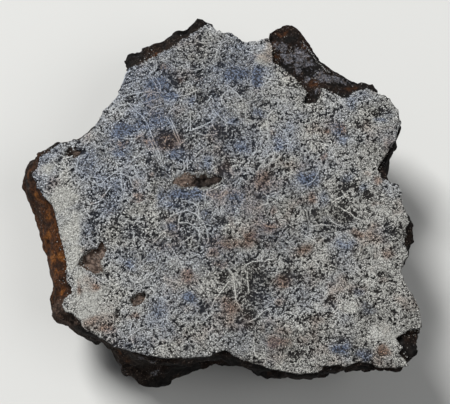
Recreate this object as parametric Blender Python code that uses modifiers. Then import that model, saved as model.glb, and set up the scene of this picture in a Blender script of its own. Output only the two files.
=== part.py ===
"""A hand specimen of dypingite on rock: a broken slab of dark rock with a thin pale crust on its top.

The slab lies with its crusted face up. X runs to the right, Y away and Z up, in metres. The
origin is under the middle of the specimen, on the ground. Two solids are made: matrix_rock,
which rests on a flat patch of its underside, and dypingite_crust, a sheet that follows the
top of the rock at an even gap.
"""

import math

import bmesh
import bpy
import numpy as np
from mathutils import Vector, geometry, noise

MM = 0.001

# Heights and thicknesses, in millimetres
ROCK_TOP = 22.3
CRUST_THICKNESS = 0.9
GAP = 0.3
EDGE_ROUND_DROP = 0.75
EDGE_ROUND_REACH = 1.4
LEDGE_REACH = 1.5
LEDGE_LEAST_DEPTH = 1.0
LEDGE_ROUGH_REACH = 1.0
HOLLOW_REACH = 0.9

# Spacing of the points on the top, in millimetres, and the lattice's rows and columns each way
OUTLINE_STEP = 1.75
OPENING_STEP = 1.1
LATTICE_STEP = 2.25
LATTICE_ROWS = 18
LATTICE_COLUMNS = 20
LATTICE_CLEARANCE = 0.45 * LATTICE_STEP
SAME_POINT = 1e-5
ON_THE_EDGE = 0.05
DECIMALS = 4

# Uneven patterns: most that they move a point, width of a lump, and the level of the noise used
RAGGED_OUTLINE = (0.22, 1.1, 3.0)
LATTICE_SHIFT_X = (0.5, 3.0, 11.0)
LATTICE_SHIFT_Y = (0.5, 3.0, 17.0)
LEDGE_ROUGHNESS = (0.55, 2.6, 29.0)
BAND_WAVES = (0.6, 5.0, 40.0)
SIDE_LUMPS = (1.0, 6.0, 60.0)
SIDE_CHIPS = (0.5, 2.6, 80.0)

# Width of the evening-out of the side, and the least turn between two of its points, in degrees
SMOOTHING_ANGLE = 8.0
LEAST_TURN = 0.02

# Just under the rim the side is still the rim's own edge: how fast it grows rough and even below,
# and the highest part of the rim's height with a wavy band
ROUGH_GROWTH = 4.0
EVEN_GROWTH = 2.2
WAVES_BELOW = 0.93

# Part of the side's roughness that its flat breaks keep
BREAK_ROUGHNESS = 0.2

# The edge of the crust seen from above, clockwise from its far tip
CRUST_EDGE = [
    (-1.5, 36.3), (0.5, 34.8), (3.5, 33.9), (6.5, 31.8), (9.0, 32.4), (11.2, 32.9), (12.0, 31.1),
    (12.0, 27.1), (13.5, 26.6), (18.7, 21.5), (18.8, 20.2), (17.8, 18.1), (20.9, 18.1),
    (22.2, 21.5), (26.0, 19.3), (27.4, 19.1), (28.4, 20.4), (31.2, 21.5), (34.6, 20.0),
    (37.4, 17.0), (37.7, 14.2), (36.7, 10.2), (32.6, 3.8), (33.2, 1.8), (36.2, 0.6),
    (37.1, -0.5), (37.3, -3.7), (38.5, -7.3), (37.7, -8.7), (37.3, -11.2), (37.9, -14.3),
    (36.3, -16.9), (36.5, -18.8), (39.4, -24.7), (39.8, -26.8), (39.6, -29.0), (37.2, -29.2),
    (34.6, -30.9), (35.9, -32.6), (35.0, -33.7), (36.5, -35.3), (36.5, -36.2), (34.3, -36.4),
    (30.7, -36.3), (30.2, -35.7), (27.5, -35.3), (24.8, -36.4), (23.9, -35.9), (20.8, -36.1),
    (19.7, -37.3), (16.3, -37.7), (10.6, -36.6), (3.6, -34.0), (2.3, -32.7), (-0.8, -34.3),
    (-9.6, -34.6), (-17.9, -32.6), (-24.2, -29.2), (-26.9, -26.0), (-28.5, -25.5),
    (-29.0, -24.1), (-28.5, -23.0), (-27.4, -22.3), (-27.4, -20.7), (-28.2, -19.8),
    (-28.7, -15.3), (-31.9, -3.9), (-33.7, -2.1), (-36.4, 2.7), (-35.3, 4.0), (-35.1, 6.1),
    (-31.8, 8.8), (-27.2, 10.2), (-24.8, 12.1), (-22.8, 15.3), (-22.6, 16.6), (-19.7, 19.7),
    (-17.9, 25.6), (-9.3, 30.6),
]

# Where the rock shows beyond the crust: the two crust points it lies between, and its own edge
BARE_LEDGES = [
    (
        (11.2, 32.9), (34.6, 20.0),
        [(11.5, 35.4), (14.3, 37.2), (16.3, 37.2), (18.0, 35.4), (22.7, 28.0), (24.4, 26.7),
         (29.7, 24.0), (32.4, 23.0)],
    ),
    ((36.7, 10.2), (36.2, 0.6), [(34.4, 5.4), (34.5, 3.0), (35.1, 2.0)]),
    ((37.3, -3.7), (37.9, -14.3), [(39.2, -5.7), (40.1, -9.3), (39.9, -10.7), (38.7, -12.0)]),
    ((39.8, -26.8), (36.5, -36.2), [(40.1, -28.3), (39.1, -31.4), (37.4, -34.8)]),
    (
        (-17.9, 25.6), (-1.5, 36.3),
        [(-18.4, 27.6), (-17.9, 30.3), (-14.1, 32.5), (-10.6, 33.8), (-5.6, 37.2), (-3.6, 38.1)],
    ),
]

# How far each bare ledge lies below the crusted face: centre, reach and depth
LEDGE_DEPTHS = [
    (18.0, 30.0, 11.0, 2.4),
    (27.0, 24.0, 8.0, 2.6),
    (40.0, -9.0, 5.0, 3.2),
    (38.5, -31.5, 5.0, 1.6),
    (-13.0, 31.0, 10.0, 3.1),
    (34.5, 3.5, 3.5, 1.4),
]

# Openings of the crust with the rock in them: outline, depth of the hollow
OPENINGS = [
    (
        [(-21.9, -11.6), (-20.8, -12.8), (-21.1, -14.7), (-21.7, -15.9), (-21.1, -17.8),
         (-23.2, -18.4), (-24.3, -17.7), (-26.4, -16.3), (-25.3, -13.9), (-22.9, -12.8)],
        0.9,
    ),
    (
        [(-13.9, -21.7), (-12.7, -21.9), (-13.7, -24.2), (-15.5, -24.9), (-16.4, -23.3),
         (-14.9, -21.9)],
        0.9,
    ),
    (
        [(-28.3, 9.0), (-27.7, 8.7), (-27.4, 7.9), (-26.3, 7.6), (-26.7, 6.3), (-27.8, 5.8),
         (-29.4, 6.2), (-29.9, 7.4), (-29.3, 8.5)],
        2.2,
    ),
    (
        [(-8.9, 0.3), (-8.1, 1.6), (-5.9, 3.2), (-2.7, 3.4), (-0.4, 3.0), (2.0, 1.8),
         (1.3, 0.7), (-1.3, -0.9), (-2.4, -1.2), (-3.2, -0.5), (-6.3, -0.5)],
        1.3,
    ),
]

# Gentle swells and sags of the broken face: centre, height and reach
SWELLS = [
    (-12.0, 22.0, 0.55, 8.0),
    (6.0, 24.0, 0.45, 7.0),
    (14.4, 14.0, -0.55, 5.0),
    (28.0, 12.0, 0.50, 7.5),
    (-24.0, -4.0, 0.45, 8.0),
    (-4.0, 3.0, -0.80, 5.5),
    (-5.0, -12.0, 0.40, 7.0),
    (10.0, -20.0, -0.60, 7.0),
    (26.0, -12.0, 0.45, 9.0),
    (24.0, -28.0, 0.35, 8.0),
    (-16.0, -26.0, -0.35, 7.0),
]

# Side of the rock, as bands from the rim down to the ground, in parts of the rim's height
BAND_LEVELS = [0.94, 0.85, 0.74, 0.62, 0.50, 0.38, 0.26, 0.15, 0.06, 0.0]

# How far the side lies inside the rim, all the way round: height, then angle and inset
SIDE_INSETS = [
    (22.0, [(0, 0.0), (90, 0.0), (180, 0.0), (270, 0.0)]),
    (
        18.0,
        [(0, -0.3), (30, 0.2), (70, 0.3), (95, -0.3), (130, -0.2), (155, 0.3), (166, -1.8),
         (180, -2.6), (200, -2.2), (215, -2.7), (222, -1.5), (232, 0.3), (250, -0.3),
         (272, -0.9), (292, -0.5), (315, 0.2), (335, 0.4)],
    ),
    (
        12.8,
        [(0, 0.8), (30, 1.4), (60, 1.0), (95, 0.2), (130, 0.0), (152, -0.2), (164, -3.4),
         (176, -4.0), (190, -3.5), (205, -3.2), (216, -3.6), (224, -0.8), (236, 1.2),
         (255, 0.8), (275, 1.6), (300, 2.2), (325, 1.6), (340, 1.5)],
    ),
    (
        8.0,
        [(0, 2.6), (45, 3.0), (80, 2.0), (130, 1.2), (160, -0.8), (180, -2.0), (205, -0.8),
         (222, 2.4), (243, 2.8), (275, 2.4), (305, 3.6), (335, 3.4)],
    ),
    (
        3.5,
        [(0, 6.4), (45, 7.0), (90, 5.2), (135, 4.4), (165, 3.0), (185, 2.4), (210, 4.4),
         (228, 5.2), (245, 4.4), (262, 3.2), (280, 3.6), (305, 5.4), (335, 7.0)],
    ),
    (
        1.3,
        [(0, 12.0), (45, 12.5), (90, 10.0), (135, 9.0), (180, 7.0), (215, 9.5),
         (240, 8.0), (264, 6.5), (285, 7.5), (305, 10.5), (335, 13.0)],
    ),
    (
        0.0,
        [(0, 19.0), (45, 19.5), (90, 17.0), (135, 15.0), (180, 15.5), (215, 16.0),
         (240, 15.0), (255, 15.0), (270, 16.0), (305, 19.0), (335, 20.0)],
    ),
]

# Flat breaks across the side: the way each faces, how far it starts outside the rim's furthest
# point that way, and how steeply it runs in below
BREAKS = [
    (4.0, 0.4, 24.0), (31.0, 0.5, 31.0), (62.0, 0.6, 22.0), (88.0, 0.4, 17.0),
    (116.0, 0.3, 26.0), (134.0, 0.4, 20.0), (184.0, 13.5, 46.0), (206.0, 12.5, 44.0),
    (268.0, 0.5, 11.0), (291.0, 0.8, 19.0), (318.0, 0.8, 27.0), (345.0, 0.6, 26.0),
]

# How squarely a point must lie before a break for the break to count
BREAK_REACH = 0.88

# Lumps that stick out of the side: angle, height, half width in degrees, half height, reach
LUMPS = [
    (248.0, 4.2, 14.0, 5.4, 6.8),
    (199.0, 15.0, 14.0, 5.0, 0.9),
    (170.0, 14.0, 10.0, 6.0, 1.1),
    (221.0, 10.0, 7.0, 5.0, 1.1),
    (352.0, 13.0, 9.0, 4.0, 1.2),
    (104.0, 9.0, 12.0, 4.5, 1.4),
]

ROCK_COLOUR = (0.035, 0.022, 0.016, 1.0)
ROCK_ROUGHNESS = 0.85
CRUST_COLOUR = (0.42, 0.42, 0.39, 1.0)
CRUST_ROUGHNESS = 0.8


def clear_scene():
    """Remove whatever the scene starts with."""
    for item in list(bpy.data.objects):
        bpy.data.objects.remove(item, do_unlink=True)


def stone_material(name, colour, roughness):
    """A plain stone-like material."""
    material = bpy.data.materials.new(name)
    material.use_nodes = True
    shader = material.node_tree.nodes["Principled BSDF"]
    shader.inputs["Base Color"].default_value = colour
    shader.inputs["Roughness"].default_value = roughness
    material.diffuse_color = colour
    return material


def mesh_object(name, points, faces, collection, material):
    """A mesh object from points in millimetres."""
    mesh = bpy.data.meshes.new(name)
    mesh.from_pydata([tuple(MM * value for value in point) for point in points], [], faces)
    mesh.materials.append(material)
    item = bpy.data.objects.new(name, mesh)
    collection.objects.link(item)
    return item


def uneven(pattern, x, y, z=0.0):
    """What an uneven pattern adds at this place."""
    most, size, level = pattern
    return most * noise.noise(Vector((x / size, y / size, (z + level) / size)))


def loops_back(corners):
    """The corners paired with the next one, the last with the first."""
    return list(zip(corners, corners[1:] + corners[:1]))


def ragged_outline(corners, step):
    """The outline with points at about this step, each a little off the straight line."""
    outline = []
    for (ax, ay), (bx, by) in loops_back(corners):
        length = math.hypot(bx - ax, by - ay)
        count = max(1, round(length / step))
        for i in range(count):
            x = ax + (bx - ax) * i / count
            y = ay + (by - ay) * i / count
            if i > 0:
                off = uneven(RAGGED_OUTLINE, x, y)
                x -= off * (by - ay) / length
                y += off * (bx - ax) / length
            outline.append((round(x, DECIMALS), round(y, DECIMALS)))
    return outline


def rim_corners():
    """The edge of the rock's top: the crust's edge, with the bare ledges outside it."""
    corners = list(CRUST_EDGE)
    for start, end, outer in BARE_LEDGES:
        first = corners.index(start)
        last = corners.index(end)
        if last > first:
            corners = corners[: first + 1] + outer + corners[last:]
        else:
            corners = corners[last : first + 1] + outer
    return corners


def inside(outline, x, y):
    """Which of the points lie inside the outline."""
    within = np.zeros(len(x), bool)
    for (ax, ay), (bx, by) in loops_back(outline):
        if ay == by:
            continue
        crosses = ((ay > y) != (by > y)) & (x < (bx - ax) * (y - ay) / (by - ay) + ax)
        within ^= crosses
    return within


def distance_to(outline, x, y):
    """Distance of the points from the outline."""
    nearest = np.full(len(x), np.inf)
    for (ax, ay), (bx, by) in loops_back(outline):
        run = (bx - ax) ** 2 + (by - ay) ** 2
        along = np.clip(((x - ax) * (bx - ax) + (y - ay) * (by - ay)) / run, 0.0, 1.0)
        gap = np.hypot(x - ax - along * (bx - ax), y - ay - along * (by - ay))
        nearest = np.minimum(nearest, gap)
    return nearest


def lattice(rim, loops):
    """A three-way lattice of points inside the rim and clear of every outline."""
    row_step = LATTICE_STEP * math.sqrt(0.75)
    points = []
    for row in range(-LATTICE_ROWS, LATTICE_ROWS + 1):
        for column in range(-LATTICE_COLUMNS, LATTICE_COLUMNS + 1):
            x = LATTICE_STEP * (column + 0.5 * (row % 2))
            y = row * row_step
            x += uneven(LATTICE_SHIFT_X, x, y)
            y += uneven(LATTICE_SHIFT_Y, x, y)
            points.append((round(x, DECIMALS), round(y, DECIMALS)))
    x, y = np.array(points).T
    keep = inside(rim, x, y)
    for loop in loops:
        keep &= distance_to(loop, x, y) > LATTICE_CLEARANCE
    return [point for point, kept in zip(points, keep) if kept]


def triangulated_top(rim, edge, openings):
    """Points and triangles of the top, with each outline kept as a line of edges."""
    loops = [rim, edge] + openings
    numbers = {}
    for loop in loops:
        for point in loop:
            numbers.setdefault(point, len(numbers))
    for point in lattice(rim, loops):
        numbers.setdefault(point, len(numbers))
    lines = set()
    for loop in loops:
        for a, b in loops_back(loop):
            lines.add(tuple(sorted((numbers[a], numbers[b]))))
    flat = [Vector(point) for point in numbers]
    made = geometry.delaunay_2d_cdt(flat, sorted(lines), [], 0, SAME_POINT)
    points = np.array([tuple(point) for point in made[0]])
    faces = np.array([face for face in made[2] if len(face) == 3])
    middle = points[faces].mean(axis=1)
    return points, faces[inside(rim, middle[:, 0], middle[:, 1])]


def rock_top(x, y, edge, openings):
    """Height of the rock's top: swells, a rounded edge, lower bare ledges and hollows."""
    height = np.full(len(x), ROCK_TOP)
    for cx, cy, rise, reach in SWELLS:
        height += rise * np.exp(-((x - cx) ** 2 + (y - cy) ** 2) / reach**2)
    from_edge = distance_to(edge, x, y)
    height -= EDGE_ROUND_DROP * np.exp(-((from_edge / EDGE_ROUND_REACH) ** 2))
    covered = inside(edge, x, y)
    depth = np.full(len(x), LEDGE_LEAST_DEPTH)
    for cx, cy, reach, drop in LEDGE_DEPTHS:
        near = np.hypot(x - cx, y - cy) < reach
        depth = np.where(near, np.maximum(depth, drop), depth)
    step = depth * (1.0 - np.exp(-from_edge / LEDGE_REACH))
    rough = np.array([uneven(LEDGE_ROUGHNESS, a, b) for a, b in zip(x, y)])
    rough *= 1.0 - np.exp(-from_edge / LEDGE_ROUGH_REACH)
    bare = ~covered & (from_edge > ON_THE_EDGE)
    height = np.where(bare, height - step + rough, height)
    for (outline, hollow), loop in zip(OPENINGS, openings):
        within = inside(loop, x, y)
        from_loop = distance_to(loop, x, y)
        deep = hollow * (1.0 - np.exp(-((from_loop / HOLLOW_REACH) ** 2)))
        height = np.where(within, height - deep, height)
    return height


def side_inset(angle, z):
    """How far the side lies inside the rim at this angle and height."""
    levels = [height for height, _ in SIDE_INSETS]
    insets = []
    for _, around in SIDE_INSETS:
        angles = [a for a, _ in around]
        values = [value for _, value in around]
        insets.append(np.interp(angle, angles, values, period=360.0))
    return float(np.interp(z, levels[::-1], insets[::-1]))


def break_starts(rim):
    """The distance from the middle at which each flat break starts, at the rim's height."""
    starts = []
    for facing, extra, _ in BREAKS:
        turned = math.radians(facing)
        starts.append(max(x * math.cos(turned) + y * math.sin(turned) for x, y, _ in rim) + extra)
    return starts


def break_limit(angle, z, starts):
    """The furthest out that the flat breaks let the side be."""
    limit = math.inf
    for (facing, _, steepness), start in zip(BREAKS, starts):
        across = math.cos(math.radians(angle - facing))
        reach = start - (ROCK_TOP - z) * math.tan(math.radians(steepness))
        if across > BREAK_REACH:
            limit = min(limit, reach / across)
    return limit


def lump_reach(angle, z):
    """How far the lumps stick out at this angle and height."""
    reach = 0.0
    for facing, height, half_width, half_height, most in LUMPS:
        turned = (angle - facing + 180.0) % 360.0 - 180.0
        away = (turned / half_width) ** 2 + ((z - height) / half_height) ** 2
        reach += most * math.exp(-away)
    return reach


def steady_angles(rim):
    """The rim's angles, made to run one way all round."""
    angles = np.degrees([math.atan2(y, x) for x, y, _ in rim])
    angles = np.degrees(np.unwrap(np.radians(angles)))
    turns = LEAST_TURN * np.arange(len(angles))
    if angles[-1] < angles[0]:
        return -np.maximum.accumulate(turns - angles)
    return np.maximum.accumulate(turns + angles)


def smoothed_radii(rim, angles):
    """The rim's distances from the middle with its small corners evened out."""
    radii = np.array([math.hypot(x, y) for x, y, _ in rim])
    away = (angles[:, None] - angles[None, :] + 180.0) % 360.0 - 180.0
    weights = np.exp(-((away / SMOOTHING_ANGLE) ** 2))
    return weights @ radii / weights.sum(axis=1)


def side_band(rim, angles, smooth, starts, level):
    """One ring of points round the rock at this part of the rim's height."""
    ring = []
    for (x, y, top), angle, even in zip(rim, angles, smooth):
        z = level * top
        if 0.0 < level < WAVES_BELOW:
            z += level * uneven(BAND_WAVES, x, y, z)
        sunk = min(1.0, (1.0 - level) * ROUGH_GROWTH)
        fade = min(1.0, (1.0 - level) * EVEN_GROWTH)
        radius = (1.0 - fade) * math.hypot(x, y) + fade * even
        rough = sunk * (uneven(SIDE_LUMPS, x, y, z) + uneven(SIDE_CHIPS, x, y, z))
        out = radius - side_inset(angle % 360.0, z) + rough
        out = min(out, break_limit(angle, z, starts) + BREAK_ROUGHNESS * rough)
        out += lump_reach(angle, z)
        turned = math.radians(angle)
        ring.append((out * math.cos(turned), out * math.sin(turned), z))
    return ring


def matrix_rock(points, heights, faces, rim, collection):
    """The broken slab of rock: its top, its side as bands, and the flat patch it rests on."""
    numbers = {tuple(np.round(point, DECIMALS)): i for i, point in enumerate(points)}
    rim_numbers = [numbers[point] for point in rim]
    solid = [(x, y, z) for (x, y), z in zip(points, heights)]
    ring_points = [solid[i] for i in rim_numbers]
    angles = steady_angles(ring_points)
    smooth = smoothed_radii(ring_points, angles)
    starts = break_starts(ring_points)
    triangles = [tuple(int(i) for i in face) for face in faces]
    above = rim_numbers
    for level in BAND_LEVELS:
        below = list(range(len(solid), len(solid) + len(rim)))
        solid += side_band(ring_points, angles, smooth, starts, level)
        for i in range(len(rim)):
            j = (i + 1) % len(rim)
            triangles.append((above[i], above[j], below[j]))
            triangles.append((above[i], below[j], below[i]))
        above = below
    triangles.append(tuple(above))
    material = stone_material("dark_rock", ROCK_COLOUR, ROCK_ROUGHNESS)
    return mesh_object("matrix_rock", solid, triangles, collection, material)


def dypingite_crust(points, heights, faces, edge, openings, collection):
    """The pale sheet over the rock, open where the rock shows, thickened upwards."""
    middle = points[faces].mean(axis=1)
    kept = inside(edge, middle[:, 0], middle[:, 1])
    for loop in openings:
        kept &= ~inside(loop, middle[:, 0], middle[:, 1])
    used = np.unique(faces[kept])
    renumbered = {int(old): new for new, old in enumerate(used)}
    sheet = [(points[i][0], points[i][1], heights[i] + GAP) for i in used]
    triangles = [tuple(renumbered[int(i)] for i in face) for face in faces[kept]]
    material = stone_material("pale_crust", CRUST_COLOUR, CRUST_ROUGHNESS)
    item = mesh_object("dypingite_crust", sheet, triangles, collection, material)
    thicken = item.modifiers.new("Solidify", "SOLIDIFY")
    thicken.thickness = CRUST_THICKNESS * MM
    thicken.offset = 1.0
    return item


def face_outwards(item):
    """Turn every face of a mesh outwards."""
    work = bmesh.new()
    work.from_mesh(item.data)
    bmesh.ops.recalc_face_normals(work, faces=work.faces)
    work.to_mesh(item.data)
    work.free()


def face_upwards(item):
    """Turn every face of an open sheet upwards."""
    work = bmesh.new()
    work.from_mesh(item.data)
    work.normal_update()
    turned = [face for face in work.faces if face.normal.z < 0.0]
    bmesh.ops.reverse_faces(work, faces=turned)
    work.to_mesh(item.data)
    work.free()


def stand_on_origin(items):
    """Move the meshes so that the whole specimen stands centred on the origin."""
    bpy.context.view_layer.update()
    graph = bpy.context.evaluated_depsgraph_get()
    corners = []
    for item in items:
        whole = item.evaluated_get(graph).to_mesh()
        corners += [vertex.co.copy() for vertex in whole.vertices]
        item.evaluated_get(graph).to_mesh_clear()
    low = [min(corner[axis] for corner in corners) for axis in range(3)]
    high = [max(corner[axis] for corner in corners) for axis in range(3)]
    shift = Vector((-(low[0] + high[0]) / 2, -(low[1] + high[1]) / 2, -low[2]))
    for item in items:
        for vertex in item.data.vertices:
            vertex.co += shift
        item.data.update()


def build():
    """Model the whole specimen."""
    clear_scene()
    collection = bpy.data.collections.new("dypingite_specimen")
    bpy.context.scene.collection.children.link(collection)
    edge = ragged_outline(CRUST_EDGE, OUTLINE_STEP)
    rim = ragged_outline(rim_corners(), OUTLINE_STEP)
    openings = [ragged_outline(outline, OPENING_STEP) for outline, _ in OPENINGS]
    points, faces = triangulated_top(rim, edge, openings)
    heights = rock_top(points[:, 0], points[:, 1], edge, openings)
    rock = matrix_rock(points, heights, faces, rim, collection)
    face_outwards(rock)
    crust = dypingite_crust(points, heights, faces, edge, openings, collection)
    face_upwards(crust)
    stand_on_origin([rock, crust])


build()
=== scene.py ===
"""Looks of a dypingite specimen: a dark broken rock with a pale crust of tiny spherules.

Lengths are millimetres unless a name says metres. X runs to the right, Y away from the viewer
and Z up, as in the frame. The rock and the film of the crust are worked out from the frame's own
meshes, and the spherules and threads stand on that film.
"""

import functools
import itertools
import logging
import math
from collections.abc import Callable
from dataclasses import dataclass, field, replace
from enum import Enum

import bpy
import numpy as np
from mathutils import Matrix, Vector


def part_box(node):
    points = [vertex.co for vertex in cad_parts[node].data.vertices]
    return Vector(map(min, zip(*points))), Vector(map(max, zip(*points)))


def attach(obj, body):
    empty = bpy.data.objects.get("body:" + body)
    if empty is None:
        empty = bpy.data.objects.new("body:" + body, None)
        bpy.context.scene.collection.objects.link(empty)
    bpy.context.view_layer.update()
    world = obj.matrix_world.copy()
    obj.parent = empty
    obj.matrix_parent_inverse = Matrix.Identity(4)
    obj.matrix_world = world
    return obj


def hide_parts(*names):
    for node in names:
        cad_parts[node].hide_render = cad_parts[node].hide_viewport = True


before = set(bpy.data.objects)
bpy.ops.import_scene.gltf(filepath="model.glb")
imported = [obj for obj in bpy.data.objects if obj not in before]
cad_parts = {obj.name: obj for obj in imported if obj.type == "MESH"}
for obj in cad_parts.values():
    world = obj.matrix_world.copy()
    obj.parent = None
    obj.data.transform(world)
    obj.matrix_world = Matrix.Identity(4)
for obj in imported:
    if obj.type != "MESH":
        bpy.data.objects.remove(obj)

Array = np.ndarray
Mesh = tuple[Array, Array]
Line = list[tuple[float, float]]
Place = tuple[float, float, float]
Socket = bpy.types.NodeSocket

# Start and end of a mask or noise, and the two values that they turn into
Ramp = tuple[float, float, float, float]

LOG = logging.getLogger("dypingite")
METRE = 0.001
BODY = "root"

# Points nearer than this are one point
SAME = 1e-4

# The rock's bare ledges lie over this level
LEDGE_LEVEL = 17.0

# The specimen's box is centred on the origin, which moves the traced face by this much
FACE_SHIFT = np.array([-0.12, -0.03])

# Places on the face, traced: centre x, centre y, half width, half height
DARK_PATCHES = [
    (1.5, 26.4, 1.0, 0.6), (-2.9, 24.7, 1.2, 1.1), (5.8, 20.6, 1.0, 0.6), (-2.5, 19.0, 1.4, 1.1),
    (0.2, 19.9, 1.2, 0.9), (7.5, 14.7, 0.8, 0.6), (4.6, 14.0, 0.5, 0.4), (8.9, 13.1, 0.8, 0.3),
    (2.5, 11.6, 2.9, 1.5), (-9.8, 10.2, 2.2, 1.7), (-14.4, 14.0, 1.2, 0.6), (-17.0, 18.5, 0.8, 1.1),
    (-17.1, 0.8, 0.8, 1.5), (-21.3, -1.4, 1.2, 0.9), (-10.9, 3.4, 1.4, 1.1), (-4.4, 3.6, 1.2, 0.6),
    (-8.3, 22.2, 1.0, 1.1), (2.3, 3.2, 1.2, 1.1), (-13.0, 5.4, 0.6, 0.5), (-15.2, -9.4, 1.2, 1.3),
    (-18.7, -8.1, 1.0, 1.3), (-23.5, -7.1, 0.8, 0.9), (-13.0, -11.3, 0.6, 0.5),
    (-11.2, -11.1, 0.6, 0.9), (-6.5, -8.1, 1.2, 0.9), (-1.4, -11.3, 1.0, 1.1),
    (-4.4, -10.2, 1.2, 0.6), (2.5, -22.2, 1.2, 0.9), (-1.8, -25.1, 1.2, 1.3),
    (4.9, -23.2, 0.4, 1.3), (-9.5, -6.0, 1.2, 0.6), (-18.3, -26.1, 0.6, 0.6),
    (-22.1, -17.7, 1.6, 0.6), (2.1, -18.6, 1.2, 0.9), (1.3, -7.1, 1.0, 0.6), (3.5, -10.4, 0.8, 0.9),
    (33.3, 15.7, 1.2, 1.1), (19.4, 4.2, 0.5, 0.5), (27.7, 2.9, 0.6, 0.9), (26.0, -0.2, 2.0, 1.3),
    (30.6, -2.3, 1.0, 0.9), (25.5, -3.8, 1.2, 0.9), (25.8, -6.6, 2.2, 1.7), (20.2, -5.3, 1.2, 0.9),
    (9.4, -2.5, 1.2, 0.9), (16.0, -5.5, 0.4, 1.1), (34.1, -8.9, 0.6, 0.9), (10.7, 3.7, 1.2, 0.9),
    (29.9, 13.3, 1.2, 0.9), (8.2, -20.6, 2.7, 3.4), (7.5, -15.7, 1.8, 0.9), (15.0, -18.2, 1.8, 1.1),
    (16.9, -19.2, 0.8, 0.9), (20.5, -18.6, 1.2, 1.3), (22.7, -15.1, 0.8, 0.6),
    (24.3, -9.2, 2.4, 0.5), (22.5, -8.4, 1.2, 0.9), (35.1, -9.6, 1.8, 1.5), (20.2, -11.1, 0.3, 0.9),
    (25.8, -19.2, 0.6, 0.5), (22.7, -23.7, 1.0, 1.1), (14.8, -15.3, 1.0, 0.6),
    (32.5, -18.6, 1.0, 0.5), (27.8, -21.9, 0.8, 0.6), (31.6, -21.9, 0.6, 0.5),
    (24.6, -31.5, 0.8, 0.4), (34.5, -26.1, 0.6, 0.4), (12.6, -28.1, 0.8, 0.3),
    (18.7, -27.1, 1.2, 0.6), (7.0, -27.1, 1.6, 1.7), (15.8, -33.9, 1.8, 0.9),
    (28.7, -34.3, 1.8, 1.1),
]

BRIGHT_PATCHES = [
    (4.0, 17.0, 3.1, 1.9), (-7.6, 17.2, 2.0, 0.9), (4.8, 24.3, 2.0, 1.5), (-16.6, 3.6, 2.9, 0.6),
    (-7.8, -15.7, 1.2, 0.5), (-2.0, -20.2, 1.2, 0.9), (-23.0, -20.0, 1.2, 1.3),
    (1.3, -5.2, 1.4, 1.3), (16.7, 11.2, 2.7, 1.5), (11.9, 6.4, 2.0, 1.3), (34.8, 12.1, 1.6, 2.6),
    (14.2, 18.0, 2.0, 1.1), (9.9, -15.1, 1.2, 0.9), (24.3, -20.8, 1.8, 1.7),
    (19.0, -14.0, 1.6, 0.6), (9.5, 30.0, 2.4, 2.4), (-29.6, -5.0, 2.2, 4.6),
    (-28.2, -12.5, 1.6, 4.0), (-24.7, -23.6, 2.6, 2.8), (-33.0, 3.5, 2.0, 1.6),
    (9.2, 23.4, 2.2, 3.0),
]

SMOOTH_PATCHES = [
    (-6.7, -1.9, 2.5, 1.1), (-3.5, -1.9, 1.3, 1.1), (4.4, 24.3, 2.2, 1.5), (19.0, 1.4, 2.4, 1.5),
    (-4.7, -23.4, 1.6, 1.3), (23.8, -32.9, 1.7, 1.0), (-12.1, 22.2, 2.0, 1.3),
    (8.6, 23.4, 1.2, 1.9), (-8.7, 19.2, 1.8, 0.9), (-18.3, 12.0, 2.0, 1.1), (28.7, -34.3, 1.6, 0.9),
]

WHITE_PATCHES = [
    (-29.4, -3.0, 2.9, 2.8), (-28.4, -8.8, 2.9, 4.2), (-27.7, -14.2, 1.9, 3.4),
    (-25.9, -18.6, 1.4, 1.5), (-24.2, -22.8, 2.9, 2.2), (-23.2, -26.0, 3.0, 1.7),
    (-33.4, 3.5, 1.6, 1.6), (33.2, -30.3, 2.6, 1.4), (11.6, 30.2, 0.9, 1.8),
    (25.8, -24.9, 1.6, 1.1), (10.2, 27.2, 1.4, 1.6),
]

BLUE_PATCHES = [
    (-4.5, 18.5, 1.2, 0.9), (-8.7, 19.2, 1.8, 0.9), (-12.1, 22.2, 2.0, 1.3),
    (-18.3, 12.0, 2.7, 1.3), (-18.9, 7.1, 1.2, 1.3), (-10.7, 13.8, 1.4, 1.3),
    (-14.4, 12.9, 1.6, 0.9), (-7.7, 6.7, 2.2, 1.3), (-1.4, 4.7, 1.0, 1.5), (-9.7, 3.2, 1.2, 1.7),
    (4.4, 24.3, 2.2, 1.3), (8.6, 23.4, 1.2, 1.7), (4.0, 14.0, 1.0, 0.9), (5.4, 7.8, 1.6, 1.3),
    (-12.8, 18.8, 1.4, 0.9), (-6.7, -1.7, 2.6, 1.1), (-3.5, -1.7, 1.3, 1.1),
    (-10.4, -2.8, 1.2, 1.9), (-8.9, -4.1, 1.2, 1.1), (-4.7, -23.4, 1.6, 1.3),
    (-10.4, -25.3, 1.6, 1.9), (4.6, -2.4, 1.6, 1.3), (-1.7, -6.0, 0.8, 1.3), (-8.6, -9.0, 1.0, 0.9),
    (-16.0, -16.7, 1.2, 1.1), (9.0, 15.5, 1.4, 0.9), (12.8, 8.6, 1.0, 1.1), (26.3, 1.1, 1.2, 0.9),
    (21.7, -3.0, 1.2, 1.7), (29.4, -0.6, 0.8, 0.9), (33.5, 13.9, 1.2, 0.6), (24.8, 11.7, 1.0, 1.3),
    (28.0, 17.8, 1.2, 1.3), (19.0, 1.3, 2.4, 1.5), (25.7, 9.7, 1.0, 0.9), (25.8, -12.4, 1.8, 0.9),
    (29.5, -25.3, 1.8, 1.1), (23.8, -32.9, 1.6, 0.9), (28.7, -34.3, 1.6, 1.1),
    (28.2, -21.9, 1.0, 0.9),
]

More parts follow.
